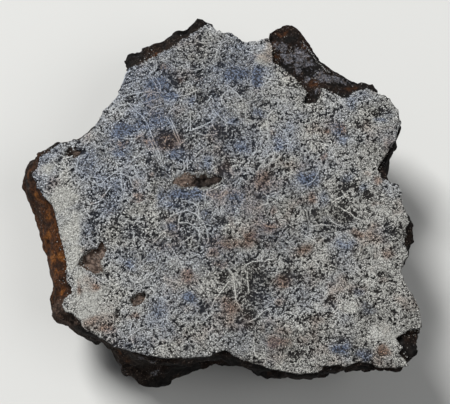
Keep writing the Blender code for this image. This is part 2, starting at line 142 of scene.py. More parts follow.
BROWN_PATCHES = [
    (-10.7, 25.7, 1.0, 0.9), (-6.9, 22.9, 0.8, 0.6), (-12.1, 2.5, 0.8, 0.9),
    (-15.0, -2.2, 1.0, 0.6), (-9.8, 9.6, 2.9, 1.9), (-14.3, 9.8, 1.6, 1.3), (-18.2, 8.9, 1.2, 0.9),
    (2.7, 4.0, 1.2, 1.3), (-21.9, -1.9, 0.6, 1.3), (-15.4, -3.0, 1.2, 0.5), (-23.8, -4.1, 0.6, 0.6),
    (-20.3, -6.2, 1.2, 0.4), (-13.3, -7.9, 0.5, 0.9), (3.7, -12.1, 3.1, 1.3),
    (-0.2, -14.6, 1.2, 1.1), (1.3, -16.3, 1.8, 1.1), (3.5, -24.7, 2.2, 1.7),
    (-5.0, -18.6, 1.0, 1.3), (-15.0, -26.7, 1.4, 0.5), (0.3, -1.7, 1.8, 1.0),
    (12.0, 11.2, 1.0, 1.3), (22.9, 11.7, 0.8, 0.6), (25.8, 11.7, 0.8, 1.1), (21.9, 5.9, 0.8, 0.6),
    (19.3, -2.5, 0.8, 1.1), (12.0, -5.3, 0.8, 1.1), (10.7, -8.5, 1.2, 0.6), (30.6, 2.4, 0.8, 0.9),
    (32.7, 1.3, 1.2, 0.9), (31.9, -3.6, 1.2, 0.9), (9.4, 1.6, 1.2, 2.1), (13.7, -19.8, 1.8, 1.3),
    (12.1, -23.5, 1.2, 0.9), (7.1, -10.5, 1.2, 1.1), (17.4, -13.4, 1.8, 0.9),
    (27.9, -10.1, 2.0, 0.9), (33.9, -14.3, 1.6, 1.3), (11.8, -31.9, 1.6, 1.3),
    (32.4, -33.3, 1.2, 0.9), (-23.5, -27.5, 1.6, 0.7), (-26.2, -21.3, 0.5, 1.6),
    (-20.8, -28.9, 1.4, 0.6), (-22.8, -21.0, 0.8, 0.6),
]

# Pale threads of spherules on the face, each traced as a line of points
THREADS = [
    [(-9.7, 14.7), (-8.6, 12.9), (-7.8, 10.7), (-6.9, 8.9)],
    [(-8.8, 14.3), (-7.8, 12.0), (-6.7, 9.3)],
    [(-12.7, 11.1), (-11.8, 8.9), (-11.0, 7.1), (-10.5, 5.1)],
    [(-13.1, 10.2), (-11.8, 7.6), (-10.9, 5.4)], [(-4.9, 16.1), (-4.8, 13.8), (-4.7, 12.0)],
    [(-12.1, 23.4), (-11.0, 21.5), (-10.8, 19.9)], [(-12.9, 23.4), (-12.1, 22.0), (-11.4, 20.4)],
    [(-19.3, 19.9), (-18.3, 19.2), (-16.6, 19.7), (-13.7, 20.1), (-11.2, 19.9)],
    [(-22.6, -0.3), (-21.0, 1.6), (-19.0, 3.2), (-16.6, 4.0), (-13.8, 4.3)],
    [(-18.1, -1.4), (-18.4, 1.0), (-18.6, 3.0)], [(-17.8, -2.7), (-17.6, 0.6)],
    [(-17.0, 1.9), (-15.9, -0.5)], [(-15.8, 3.0), (-14.7, 0.6)], [(-5.4, 5.8), (-5.3, 3.6)],
    [(-6.1, 5.6), (-5.8, 3.6)], [(-2.4, 7.8), (-4.0, 6.0)], [(-6.9, 8.7), (-5.3, 10.2)],
    [(-0.2, 16.5), (1.3, 14.5), (2.5, 13.4), (4.4, 13.1)], [(2.7, 21.7), (4.6, 19.9), (5.8, 18.3)],
    [(-19.5, 20.8), (-18.6, 22.9), (-18.2, 24.5), (-17.2, 25.2)],
    [(-17.6, 17.9), (-16.1, 16.1), (-14.4, 14.7), (-13.3, 12.9), (-12.7, 11.1)],
    [(-4.5, 11.8), (-2.4, 12.9), (-0.8, 12.0)],
    [(-9.0, -9.6), (-9.5, -7.9), (-8.3, -6.4), (-6.7, -5.8), (-5.1, -5.4), (-3.5, -6.2), (-2.1,
     -7.9), (-1.3, -9.6), (-1.0, -11.7), (-1.6, -12.5)],
    [(-11.8, -12.1), (-10.2, -10.4), (-9.0, -9.2)], [(-8.6, -15.0), (-7.0, -15.9), (-8.5, -17.1)],
    [(-1.7, -3.9), (-1.7, -2.2), (-1.3, -1.3), (0.3, -0.6), (1.7, 0.2)],
    [(-1.3, -3.9), (-0.3, -3.2), (-0.3, -2.2)],
    [(3.7, -18.8), (4.1, -20.6), (4.3, -23.6), (5.3, -25.3)],
    [(6.5, -18.0), (6.6, -19.8), (6.8, -21.9)], [(-14.1, -17.1), (-12.9, -15.9), (-11.3, -15.7)],
    [(-10.1, -19.2), (-8.1, -19.8), (-6.9, -20.2)],
    [(-24.4, -4.3), (-22.6, -3.7), (-21.5, -2.2), (-20.3, -0.2)],
    [(25.2, -5.1), (26.8, -6.0), (27.8, -7.0), (28.8, -7.5)],
    [(22.6, -7.2), (23.9, -8.3), (25.3, -8.9)], [(24.5, -2.8), (23.3, -3.8)],
    [(5.9, -16.7), (7.7, -15.7), (9.5, -15.7)],
    [(6.6, -27.9), (8.2, -27.1), (9.4, -25.9), (10.7, -25.1)],
]

# Grey film, orange spots and pale specks on the bare ledge at the upper right
FILM_PATCHES = [
    (13.8, 32.0, 1.4, 1.5), (15.4, 29.7, 1.5, 1.5), (18.0, 30.1, 1.9, 2.0), (17.7, 28.0, 1.6, 1.1),
    (19.6, 28.1, 1.1, 1.0), (23.4, 24.8, 2.5, 1.2), (21.8, 25.6, 1.5, 1.1), (26.3, 24.4, 1.8, 0.6),
    (21.4, 21.3, 1.0, 0.8), (17.3, 26.5, 0.7, 0.9), (19.0, 25.0, 0.6, 1.0),
]

ORANGE_PATCHES = [
    (12.7, 31.8, 0.5, 1.2), (16.3, 32.2, 0.9, 0.6), (18.9, 32.0, 0.6, 1.0), (12.9, 28.8, 0.9, 0.8),
    (20.4, 23.5, 0.6, 0.8), (28.2, 22.9, 1.1, 0.5), (14.5, 35.3, 1.4, 0.4),
]

SPECK_PATCHES = [
    (16.3, 31.7, 1.1, 0.5), (20.9, 25.6, 0.9, 0.8), (14.4, 34.6, 0.9, 0.3), (22.4, 26.4, 0.9, 0.4),
]

# A pale ridge along the outer edge of that ledge
RIDGE = [(18.5, 33.2), (19.4, 31.8), (20.7, 30.1), (21.7, 28.5), (23.0, 27.0), (24.1, 26.2)]

# Pale spots on the side: place in space, reach and strength
FILM_SPOTS = [
    (-18.9, -32.6, 6.4, 1.3, 1.0), (-12.1, -34.7, 8.6, 1.0, 1.0), (-14.2, -33.8, 18.6, 0.7, 1.0),
    (-11.7, -34.4, 19.2, 0.7, 1.0), (-15.6, -33.6, 8.0, 0.6, 1.0),
]

# The brightest orange of the left side: place in space, reach and strength
OCHRE_SPOTS = [
    (-33.6, -6.5, 18.5, 2.0, 1.0), (-34.2, -8.4, 16.4, 1.2, 1.0), (-32.3, -13.9, 18.6, 1.5, 1.0),
    (-30.3, -14.6, 20.7, 1.2, 1.0), (-30.8, -16.7, 19.7, 1.6, 1.0), (-29.7, -21.2, 19.9, 1.0, 1.0),
    (-36.0, -0.9, 18.7, 1.2, 1.0), (-38.1, 4.7, 18.3, 1.3, 1.0), (-33.2, -7.9, 18.7, 1.6, 1.0),
    (-18.9, -31.0, 10.2, 0.9, 1.0), (-17.4, -32.4, 9.8, 0.9, 1.0),
]

# Openings in the crust: centre, reach, how brown the rock in them is, width of their bank
OPENINGS = [
    (-23.4, -14.9, 4.0, 1.3, 0.4), (-14.7, -23.4, 2.8, 0.9, 0.3), (-6.4, 1.6, 2.6, 1.0, 0.6),
    (-1.0, 2.6, 2.4, 0.35, 0.8), (-27.5, 7.2, 0.9, 0.8, 0.12),
]

# Browner places on the lump at the lower left: centre, reach and strength
WARM_SPOTS = [(-18.0, -31.0, 6.0, 0.15), (-29.3, -26.0, 3.2, 0.45)]

# Rows of spherules that hang into an opening from its edge
BRIDGES = [
    [(-28.6, 9.3), (-28.4, 8.6), (-28.3, 8.0)], [(-28.3, 9.2), (-28.1, 8.5)],
    [(-28.6, 5.9), (-28.3, 6.4)],
]

# Hollows in the crust beside its smallest opening, sunk and darkened as painted shade: centre,
# reach and strength
HOLLOWS = [(-28.3, 7.8, 1.2, 1.0), (-26.8, 7.3, 1.1, 1.0), (-27.5, 9.5, 0.6, 1.0)]

# Narrow steps in the crust, sunk and darkened along each line as painted shadow
GROOVES = [
    [(16.8, 15.1), (18.5, 15.9), (19.7, 16.0), (21.0, 16.4)],
    [(23.6, -30.7), (25.6, -29.1), (28.0, -27.3), (30.4, -25.7), (32.1, -23.5)],
    [(24.5, -28.5), (27.1, -27.1), (29.3, -25.1)],
    [(-17.7, 22.8), (-14.6, 24.1), (-12.5, 24.6), (-10.9, 24.9), (-8.8, 24.7)],
]


class Grain(Enum):
    """How coarse a spherule is drawn: its faces are few, because there are thousands."""

    COARSE = "coarse"
    FINE = "fine"


def linear(hex_colour: str) -> tuple[float, float, float, float]:
    """Turn an sRGB hex colour into linear red, green, blue and alpha.

    Args:
        hex_colour: six hex digits after a hash.

    Returns:
        The linear colour with alpha 1.
    """
    parts = [int(hex_colour[i : i + 2], 16) / 255.0 for i in (1, 3, 5)]
    red, green, blue = (
        part / 12.92 if part <= 0.04045 else ((part + 0.055) / 1.055) ** 2.4 for part in parts
    )
    return red, green, blue, 1.0


def add_node(
    tree: bpy.types.NodeTree,
    kind: str,
    *inputs: Socket | str | float,
    output: int | str = 0,
    **named: Socket | str | float,
) -> Socket:
    """Add one node with its settings and links.

    Args:
        tree: the material's node tree.
        kind: the node's type name, without its ShaderNode prefix.
        inputs: a socket, hex colour or number for each input, in the node's own order.
        output: number or name of the output that is wanted.
        named: the same for inputs by name, and the node's properties.

    Returns:
        The socket of that output.
    """
    node = tree.nodes.new("ShaderNode" + kind)
    for name, value in [*enumerate(inputs), *named.items()]:
        if isinstance(name, str) and name not in node.inputs:
            setattr(node, name, value)
        elif isinstance(value, Socket):
            tree.links.new(value, node.inputs[name])
        else:
            node.inputs[name].default_value = linear(value) if isinstance(value, str) else value
    return node.outputs[output]


def new_material(
    name: str, roughness: float, specular: float
) -> tuple[bpy.types.Material, Callable[..., Socket], bpy.types.NodeInputs]:
    """Start a material of one Principled shader.

    Args:
        name: the material's name.
        roughness: roughness of its surface.
        specular: level of its shine.

    Returns:
        The material, add_node for its node tree, and the shader's inputs.
    """
    made = bpy.data.materials.new(name)
    made.use_nodes = True
    surface = made.node_tree.nodes["Principled BSDF"].inputs
    surface["Roughness"].default_value = roughness
    surface["Specular IOR Level"].default_value = specular
    return made, functools.partial(add_node, made.node_tree), surface


def lattice_value(cell: Array, seed: int) -> Array:
    """Give every whole-number cell a fixed value from 0 to 1 by mixing its bits.

    Args:
        cell: whole numbers, one row a cell.
        seed: a number that makes one pattern unlike another.

    Returns:
        One value for each row.
    """
    bits = np.full(cell.shape[:-1], seed * 2654435761 % 2**32, np.uint64)
    for axis in range(cell.shape[-1]):
        prime = np.uint64(73856093 + 83492791 * axis)
        bits ^= cell[..., axis].astype(np.int64).astype(np.uint64) * prime
        bits = (bits ^ (bits >> np.uint64(13))) * np.uint64(1274126177)
        bits &= np.uint64(0xFFFFFFFF)
    bits ^= bits >> np.uint64(16)
    return (bits & np.uint64(0xFFFFFF)).astype(float) / 16777215.0


def turned(points: Array, degrees: float) -> Array:
    """Turn places on the face about the origin.

    Args:
        points: places on the face.
        degrees: the angle.

    Returns:
        The turned places.
    """
    angle = math.radians(degrees)
    right = np.array([math.cos(angle), math.sin(angle)])
    up = np.array([-math.sin(angle), math.cos(angle)])
    return np.stack([points @ right, points @ up], axis=1)


@dataclass(frozen=True)
class Lumps:
    """Smooth noise in layers, each with half the lump size and less strength than the last.

    Unlike turns on the face, in degrees, keep two noises from lining up.
    """

    size: float
    layers: int
    seed: int
    turn: float = 0.0
    fall: float = 0.55

    @staticmethod
    def layer(points: Array, size: float, seed: int) -> Array:
        """One layer: the values of the cell's corners, blended by a cubic weight on each axis.

        Args:
            points: places on the face or in space, one row each.
            size: width of a lump.
            seed: the pattern's number.

        Returns:
            Values from -1 to 1.
        """
        scaled = points / size
        cell = np.floor(scaled)
        part = scaled - cell
        weight = part * part * (3.0 - 2.0 * part)
        total = np.zeros(len(points))
        for step in itertools.product((0, 1), repeat=points.shape[1]):
            step = np.array(step[::-1])
            share = np.prod(np.where(step == 1, weight, 1.0 - weight), axis=1)
            total += share * lattice_value(cell + step, seed)
        return 2.0 * total - 1.0

    def at(self, points: Array) -> Array:
        """Values of about -1 to 1: the sum of the layers over the sum of their strengths.

        Args:
            points: places, one row each.

        Returns:
            One value for each place.
        """
        if self.turn:
            points = turned(points, self.turn)
        total = np.zeros(len(points))
        strengths = [self.fall**number for number in range(self.layers)]
        for number, strength in enumerate(strengths):
            size, seed = self.size / 2**number, self.seed + number
            total += strength * self.layer(points + 17.3 * number, size, seed)
        return total / sum(strengths)

    def shift(self, points: Array) -> Array:
        """A sideways shift for each place: one such noise for each axis.

        Args:
            points: places, one row each.

        Returns:
            One shift for each place.
        """
        noises = [replace(self, seed=self.seed + axis) for axis in range(points.shape[1])]
        return np.stack([noise.at(points) for noise in noises], axis=1)


def facets(points: Array, size: float, seed: int) -> Array:
    """Flat chips as on broken stone: in each cell's own region, a plane of its own tilt.

    A region belongs to the nearest of the cells' scattered middles. Its value is the place's
    distance from that middle along the region's own direction, over the size.

    Args:
        points: places in space.
        size: width of a chip.
        seed: the pattern's number.

    Returns:
        Values of about -1 to 1.
    """
    home = np.floor(points / size)
    nearest = np.full(len(points), np.inf)
    value = np.zeros(len(points))
    for step in itertools.product((-1, 0, 1), repeat=3):
        cell = home + np.array(step[::-1])
        place, tilt = (
            np.stack([lattice_value(cell, seed + first + axis) for axis in range(3)], axis=1)
            for first in (0, 3)
        )
        away = points / size - cell - place
        distance = (away**2).sum(axis=1)
        closer = distance < nearest
        nearest = np.where(closer, distance, nearest)
        plane = 2.0 * (away * (tilt - 0.5)).sum(axis=1) + 0.5 * (tilt[:, 0] - 0.5)
        value = np.where(closer, plane, value)
    return value


def patch_strength(points: Array, patches: list[tuple[float, float, float, float]]) -> Array:
    """How strongly the patches reach each place: 1 inside a patch, falling off past its edge.

    Args:
        points: places on the face.
        patches: centre, half width and half height of each.

    Returns:
        Values from 0 to 1.
    """
    moved = points + 0.55 * Lumps(1.7, 1, 5).shift(points) - FACE_SHIFT
    strength = np.zeros(len(points))
    for patch in np.array(patches):
        away = (((moved - patch[:2]) / patch[2:]) ** 2).sum(axis=1)
        strength = np.maximum(strength, 1.0 / (1.0 + away**2))
    return strength


def spot_strength(points: Array, spots: list[tuple[float, ...]], power: int) -> Array:
    """The strongest of several bells: strength times e to the minus power of distance over reach.

    Args:
        points: places on the face or in space.
        spots: each bell's middle, reach and strength.
        power: 2 for a soft bell, 4 for one with a flat top.

    Returns:
        Values from 0 to the greatest strength.
    """
    strongest = np.zeros(len(points))
    for *middle, reach, strength in spots:
        away = np.linalg.norm(points[:, : len(middle)] - np.array(middle), axis=1) / reach
        strongest = np.maximum(strongest, strength * np.exp(-(away**power)))
    return strongest


def line_distance(points: Array, line: Array) -> Array:
    """Distance of each place from a line of points: the least over its straight stretches.

    Args:
        points: places on the face.
        line: the line's points, one row each.

    Returns:
        Distances.
    """
    nearest = np.full(len(points), np.inf)
    for start, end in zip(line[:-1], line[1:]):
        run = end - start
        along = np.clip((points - start) @ run / (run @ run), 0.0, 1.0)
        away = points - start - along[:, None] * run
        nearest = np.minimum(nearest, np.hypot(away[:, 0], away[:, 1]))
    return nearest


def along_lines(lines: list[Line], step: float) -> Array:
    """Places along traced lines of the face, at an even step.

    Args:
        lines: the corners of each line.
        step: distance from one place to the next.

    Returns:
        The places, one row each.
    """
    runs = []
    for line in lines:
        corners = np.array(line) + FACE_SHIFT
        pieces = np.linalg.norm(np.diff(corners, axis=0), axis=1)
        along = np.concatenate([[0.0], np.cumsum(pieces)])
        at = np.arange(0.0, along[-1], step)
        runs.append(np.stack([np.interp(at, along, corners[:, axis]) for axis in (0, 1)], axis=1))
    return np.concatenate(runs)


def numbered(points: Array) -> tuple[Array, Array]:
    """The first of the points at each place, and for every point the number of its place.

    Args:
        points: places, one row each.

    Returns:
        The first points' numbers, and each point's place in their order.
    """
    _, first, number = np.unique(
        np.round(points / SAME), axis=0, return_index=True, return_inverse=True
    )
    return first, number.reshape(-1)


def merged(points: Array, faces: Array) -> Mesh:
    """Make points that lie together one point, and drop the faces that close up.

    Args:
        points: places, one row each.
        faces: triangles as numbers of points.

    Returns:
        The points left and the triangles between them.
    """
    first, number = numbered(points)
    faces = number[faces]
    return points[first], faces[(faces != np.roll(faces, 1, axis=1)).all(axis=1)]


def node_mesh(name: str) -> Mesh:
    """Read a node of the frame as merged triangles, in millimetres.

    Args:
        name: the node's name.

    Returns:
        Its points and triangles.
    """
    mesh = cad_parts[name].data
    mesh.calc_loop_triangles()
    points = np.empty(len(mesh.vertices) * 3)
    mesh.vertices.foreach_get("co", points)
    faces = np.empty(len(mesh.loop_triangles) * 3, np.int32)
    mesh.loop_triangles.foreach_get("vertices", faces)
    return merged(points.reshape(-1, 3) / METRE, faces.reshape(-1, 3))


def face_normals(points: Array, faces: Array) -> Array:
    """The triangles' normals, as the cross product of two sides, as long as twice their area."""
    corner = points[faces]
    return np.cross(corner[:, 1] - corner[:, 0], corner[:, 2] - corner[:, 0])


def point_normals(points: Array, faces: Array) -> Array:
    """The points' unit normals: the sum of the normals of the triangles round each.

    Args:
        points: places, one row each.
        faces: triangles as numbers of points.

    Returns:
        One normal for each point.
    """
    normals = face_normals(points, faces)
    total = np.zeros_like(points)
    for corner, axis in itertools.product(range(3), repeat=2):
        total[:, axis] += np.bincount(faces[:, corner], normals[:, axis], len(points))
    return total / np.maximum(np.linalg.norm(total, axis=1, keepdims=True), 1e-12)


def evened(values: Array, faces: Array) -> Array:
    """Blend each point's value halfway to the mean of the points that share a triangle with it.

    Args:
        values: one value for each point.
        faces: triangles as numbers of points.

    Returns:
        The new values.
    """
    around = np.zeros_like(values)
    count = np.zeros_like(values)
    for corner, step in itertools.product(range(3), (1, 2)):
        other = values[faces[:, (corner + step) % 3]]
        around += np.bincount(faces[:, corner], other, len(values))
        count += np.bincount(faces[:, corner], minlength=len(values))
    return 0.5 * values + 0.5 * around / np.maximum(count, 1.0)


def cut_apart(points: Array, faces: Array, parts: int) -> Mesh:
    """Cut every triangle into small ones, at whole shares of its three corners.

    Args:
        points: places, one row each.
        faces: triangles.
        parts: how many parts each side is cut into.

    Returns:
        Each triangle's own points and small triangles, not merged with its neighbours'.
    """
    pairs = [(i, j) for i in range(parts + 1) for j in range(parts + 1 - i)]
    number = {pair: place for place, pair in enumerate(pairs)}
    shares = np.array([(parts - i - j, i, j) for i, j in pairs]) / parts
    small = []
    for i, j in pairs:
        if i + j < parts:
            small.append((number[i, j], number[i + 1, j], number[i, j + 1]))
        if i + j < parts - 1:
            small.append((number[i + 1, j], number[i + 1, j + 1], number[i, j + 1]))
    fine = np.einsum("sc,fcx->fsx", shares, points[faces])
    offsets = np.arange(len(faces))[:, None, None] * len(shares)
    return fine.reshape(-1, 3), (np.array(small)[None] + offsets).reshape(-1, 3)


def outer_edges(faces: Array) -> Array:
    """The edges that only one triangle has, each in that triangle's own direction.

    Args:
        faces: triangles as numbers of points.

    Returns:
        The two ends of each edge, as numbers of points.
    """
    ends = np.concatenate([faces[:, [0, 1]], faces[:, [1, 2]], faces[:, [2, 0]]])
    _, first, count = np.unique(
        np.sort(ends, axis=1), axis=0, return_index=True, return_counts=True
    )
    return ends[first[count == 1]]


def inside_edges(points: Array, starts: Array, ends: Array) -> Array:
    """Which places lie inside a set of closed outlines, by counting the edges a ray crosses.

    Args:
        points: places on the face.
        starts: one end of each edge.
        ends: its other end.

    Returns:
        True for each place inside.
    """
    within = np.zeros(len(points), bool)
    for (ax, ay), (bx, by) in zip(starts, ends):
        if ay != by:
            crosses = (ay > points[:, 1]) != (by > points[:, 1])
            within ^= crosses & (points[:, 0] < (bx - ax) * (points[:, 1] - ay) / (by - ay) + ax)
    return within


def new_piece(
    name: str, points: Array, faces: Array, material: bpy.types.Material, slot: str, **masks: Array
) -> bpy.types.Object:
    """Make a smooth-shaded mesh object at the origin that rides on the specimen.

    Args:
        name: the piece's name.
        points: places in millimetres.
        faces: triangles, facing outwards.
        material: its finish.
        slot: the record's material slot; not used.
        masks: numbers for its points, by the name that the material reads.

    Returns:
        The new object.
    """
    mesh = bpy.data.meshes.new(name)
    mesh.vertices.add(len(points))
    mesh.vertices.foreach_set("co", (points * METRE).astype(np.float32).reshape(-1))
    mesh.loops.add(3 * len(faces))
    mesh.loops.foreach_set("vertex_index", faces.astype(np.int32).reshape(-1))
    mesh.polygons.add(len(faces))
    mesh.polygons.foreach_set("loop_start", np.arange(0, 3 * len(faces), 3, dtype=np.int32))
    mesh.update(calc_edges=True)
    mesh.validate()
    mesh.shade_smooth()
    mesh.materials.append(material)
    for mask, values in masks.items():
        attribute = mesh.attributes.new(mask, "FLOAT", "POINT")
        attribute.data.foreach_set("value", values.astype(np.float32))
    piece = bpy.data.objects.new(name, mesh)
    bpy.context.scene.collection.objects.link(piece)
    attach(piece, BODY)
    LOG.info("%s: %d triangles", name, len(faces))
    return piece


@dataclass(frozen=True)
class FilmFinish:
    """Dypingite film: a dull skin grown from many spherules, cream where thick, slate where thin.

    Each tone has a darker fleck of its own. Flecks and pinholes are drawn a third of a
    millimetre wide, because the real ones, of a tenth, are too fine to show.
    """

    cream: str = "#c6c6c2"
    fleck: str = "#6b6a66"
    dull: str = "#96958f"
    dull_fleck: str = "#484744"
    white: str = "#adada8"
    white_fleck: str = "#898983"
    slate: str = "#778193"
    slate_fleck: str = "#495264"
    umber: str = "#80624f"
    umber_fleck: str = "#443128"
    # Pits show the bare rock; the same dark colours are painted shade in the crust's steps and
    # hollows
    pit: str = "#131212"
    pit_light: str = "#2d2b2a"
    brown_pit: str = "#33271f"
    blue_pit: str = "#252a33"
    roughness: float = 0.8
    specular: float = 0.12
    fleck_size: float = 0.3
    pinhole_size: float = 0.34
    raggedness: float = 1.3
    bump_height: float = 0.12

    fleck_edge: Ramp = (0.4, 0.6, 0.0, 1.0)
    pit_edge: Ramp = (0.92, 1.28, 0.0, 1.0)
    pinholes: Ramp = (0.48, 0.6, 0.0, 0.9)
    white_pinholes: Ramp = (0.56, 0.68, 0.0, 0.6)

    def material(self) -> bpy.types.Material:
        """Build the film's material: the eye sees a mottled grey skin with dark bare pits, and
        painted shade in its steps and hollows.

        Returns:
            The material.
        """
        made, add, surface = new_material("dypingite_film_skin", self.roughness, self.specular)
        cover, blue, brown, shade, white = (
            add("Attribute", attribute_name=name, output="Fac")
            for name in ("cover", "blue", "brown", "shade", "white")
        )
        place = add("TexCoord", output="Object")
        scale = 1.0 / (self.pinhole_size * METRE)
        cells = add("TexVoronoi", Vector=place, Scale=scale, output="Distance")
        scale = 1.0 / (self.fleck_size * METRE)
        fleck = add("TexNoise", Vector=place, Scale=scale, Detail=3.0, output="Fac")
        patchy = add("MapRange", fleck, *self.fleck_edge)
        ragged = add("Math", fleck, self.raggedness, cover, operation="MULTIPLY_ADD")
        closed = add("MapRange", ragged, *self.pit_edge)
        skin = add("MixRGB", patchy, self.fleck, self.cream)
        for mask, low, high in (
            (shade, self.dull_fleck, self.dull), (white, self.white_fleck, self.white),
            (brown, self.umber_fleck, self.umber), (blue, self.slate_fleck, self.slate),
        ):
            tone = add("MixRGB", patchy, low, high)
            skin = add("MixRGB", mask, skin, tone)
        holed, sparse = (
            add("MixRGB", add("MapRange", cells, *edge), skin, self.pit_light)
            for edge in (self.pinholes, self.white_pinholes)
        )
        skin = add("MixRGB", white, holed, sparse)
        # Under the skin: bare rock in the pits, painted shade in the steps and hollows
        under = add("MixRGB", patchy, self.pit, self.pit_light)
        under = add("MixRGB", brown, under, self.brown_pit)
        under = add("MixRGB", blue, under, self.blue_pit)
        colour = add("MixRGB", closed, under, skin)
        made.node_tree.links.new(colour, surface["Base Color"])
        height = self.bump_height * METRE
        bump = add("Bump", Strength=0.8, Distance=height, Height=fleck)
        made.node_tree.links.new(bump, surface["Normal"])
        return made


@dataclass(frozen=True)
class SpheruleFinish:
    """Dypingite spherules: radiating white fibres, so each is a matt pale ball with a soft edge."""

    cream: str = "#ecebe5"
    white: str = "#cad3e2"
    tan: str = "#c0a390"
    dim: str = "#84837d"
    roughness: float = 0.75
    specular: float = 0.12

    def material(self) -> bpy.types.Material:
        """Build the spherules' material: the eye sees pale grains of slightly unlike tones.

        Returns:
            The material.
        """
        name = "dypingite_spherule_fibres"
        made, add, surface = new_material(name, self.roughness, self.specular)
        colour = self.cream
        for mask, tint in (("blue", self.white), ("brown", self.tan), ("tone", self.dim)):
            share = add("Attribute", attribute_name=mask, output="Fac")
            colour = add("MixRGB", share, colour, tint)
        made.node_tree.links.new(colour, surface["Base Color"])
        return made


@dataclass(frozen=True)
class RockFinish:
    """Broken dark rock, rusty with limonite on its left side: the eye sees rough brown-black, with
    pale specks of painted glint.

    Each tone has a darker one that the grain mixes with it. Sizes are those of the grains and
    patches in the photograph.
    """

    dark: str = "#0b0a09"
    grey: str = "#201e1d"
    brown: str = "#261b15"
    brown_dark: str = "#150f0c"
    tan: str = "#87766b"
    tan_dark: str = "#43362f"
    rust: str = "#5a3519"
    rust_dark: str = "#2c1b12"
    ochre: str = "#96602a"
    ochre_dark: str = "#6a3f1c"
    film: str = "#7c7d85"
    film_dark: str = "#4a423d"
    film_shade: str = "#4a4b50"
    # Painted glint: pale specks that stand for tiny highlights on the rock
    painted_glint: str = "#9a8d82"
    roughness: float = 0.85
    specular: float = 0.1
    grain_size: float = 0.8
    patch_size: float = 5.0
    film_grain: float = 0.55
    speck_size: float = 0.3
    raggedness: float = 3.0
    bump_height: float = 0.22

    grain_edge: Ramp = (0.38, 0.62, 0.0, 1.0)
    patch_edge: Ramp = (0.44, 0.58, 0.0, 1.0)
    rust_edge: Ramp = (0.0, 0.5, 0.0, 1.0)
    ochre_edge: Ramp = (0.5, 1.0, 0.0, 1.0)
    film_edge: Ramp = (1.98, 2.25, 0.0, 0.92)
    speck_edge: Ramp = (0.42, 0.58, 0.0, 1.0)
    shadow_edge: Ramp = (0.5, 0.4, 0.0, 0.65)
    spark_edge: Ramp = (0.64, 0.72, 0.0, 0.7)

    def material(self) -> bpy.types.Material:
        """Build the rock's material from its own patchy noise and the masks that it carries.

        Returns:
            The material.
        """
        made, add, surface = new_material("dark_limonite_rock", self.roughness, self.specular)
        rust, film, warm = (
            add("Attribute", attribute_name=name, output="Fac")
            for name in ("rust", "film", "warm")
        )
        place = add("TexCoord", output="Object")
        grain, broad, fine, speck = (
            add("TexNoise", Vector=place, Scale=1.0 / (size * METRE), Detail=detail, output="Fac")
            for size, detail in (
                (self.grain_size, 6.0), (self.patch_size, 5.0),
                (self.film_grain, 4.0), (self.speck_size, 2.0),
            )
        )
        ragged = add("Math", fine, self.raggedness, film, operation="MULTIPLY_ADD")
        patchy, wide, some, most, filmed, speckled, shadow, spark = (
            add("MapRange", value, *edge)
            for value, edge in (
                (grain, self.grain_edge), (broad, self.patch_edge), (rust, self.rust_edge),
                (rust, self.ochre_edge), (ragged, self.film_edge), (speck, self.speck_edge),
                (speck, self.shadow_edge), (speck, self.spark_edge),
            )
        )
        body = add("MixRGB", patchy, self.dark, self.grey)
        for mask, low, high in (
            (wide, self.brown_dark, self.brown), (warm, self.tan_dark, self.tan),
            (some, self.rust_dark, self.rust), (most, self.ochre_dark, self.ochre),
        ):
            tone = add("MixRGB", patchy, low, high)
            body = add("MixRGB", mask, body, tone)
        thin = add("MixRGB", patchy, self.film_dark, self.film)
        thin = add("MixRGB", speckled, self.film_shade, thin)
        colour = add("MixRGB", filmed, body, thin)
        colour = add("MixRGB", shadow, colour, self.dark)
        # Painted highlights: pale glints in the browner places, where the speck noise is high
        spark = add("Math", spark, wide, operation="MULTIPLY")
        colour = add("MixRGB", spark, colour, self.painted_glint)
        made.node_tree.links.new(colour, surface["Base Color"])
        height = self.bump_height * METRE
        bump = add("Bump", Strength=0.6, Distance=height, Height=grain)
        made.node_tree.links.new(bump, surface["Normal"])
        return made


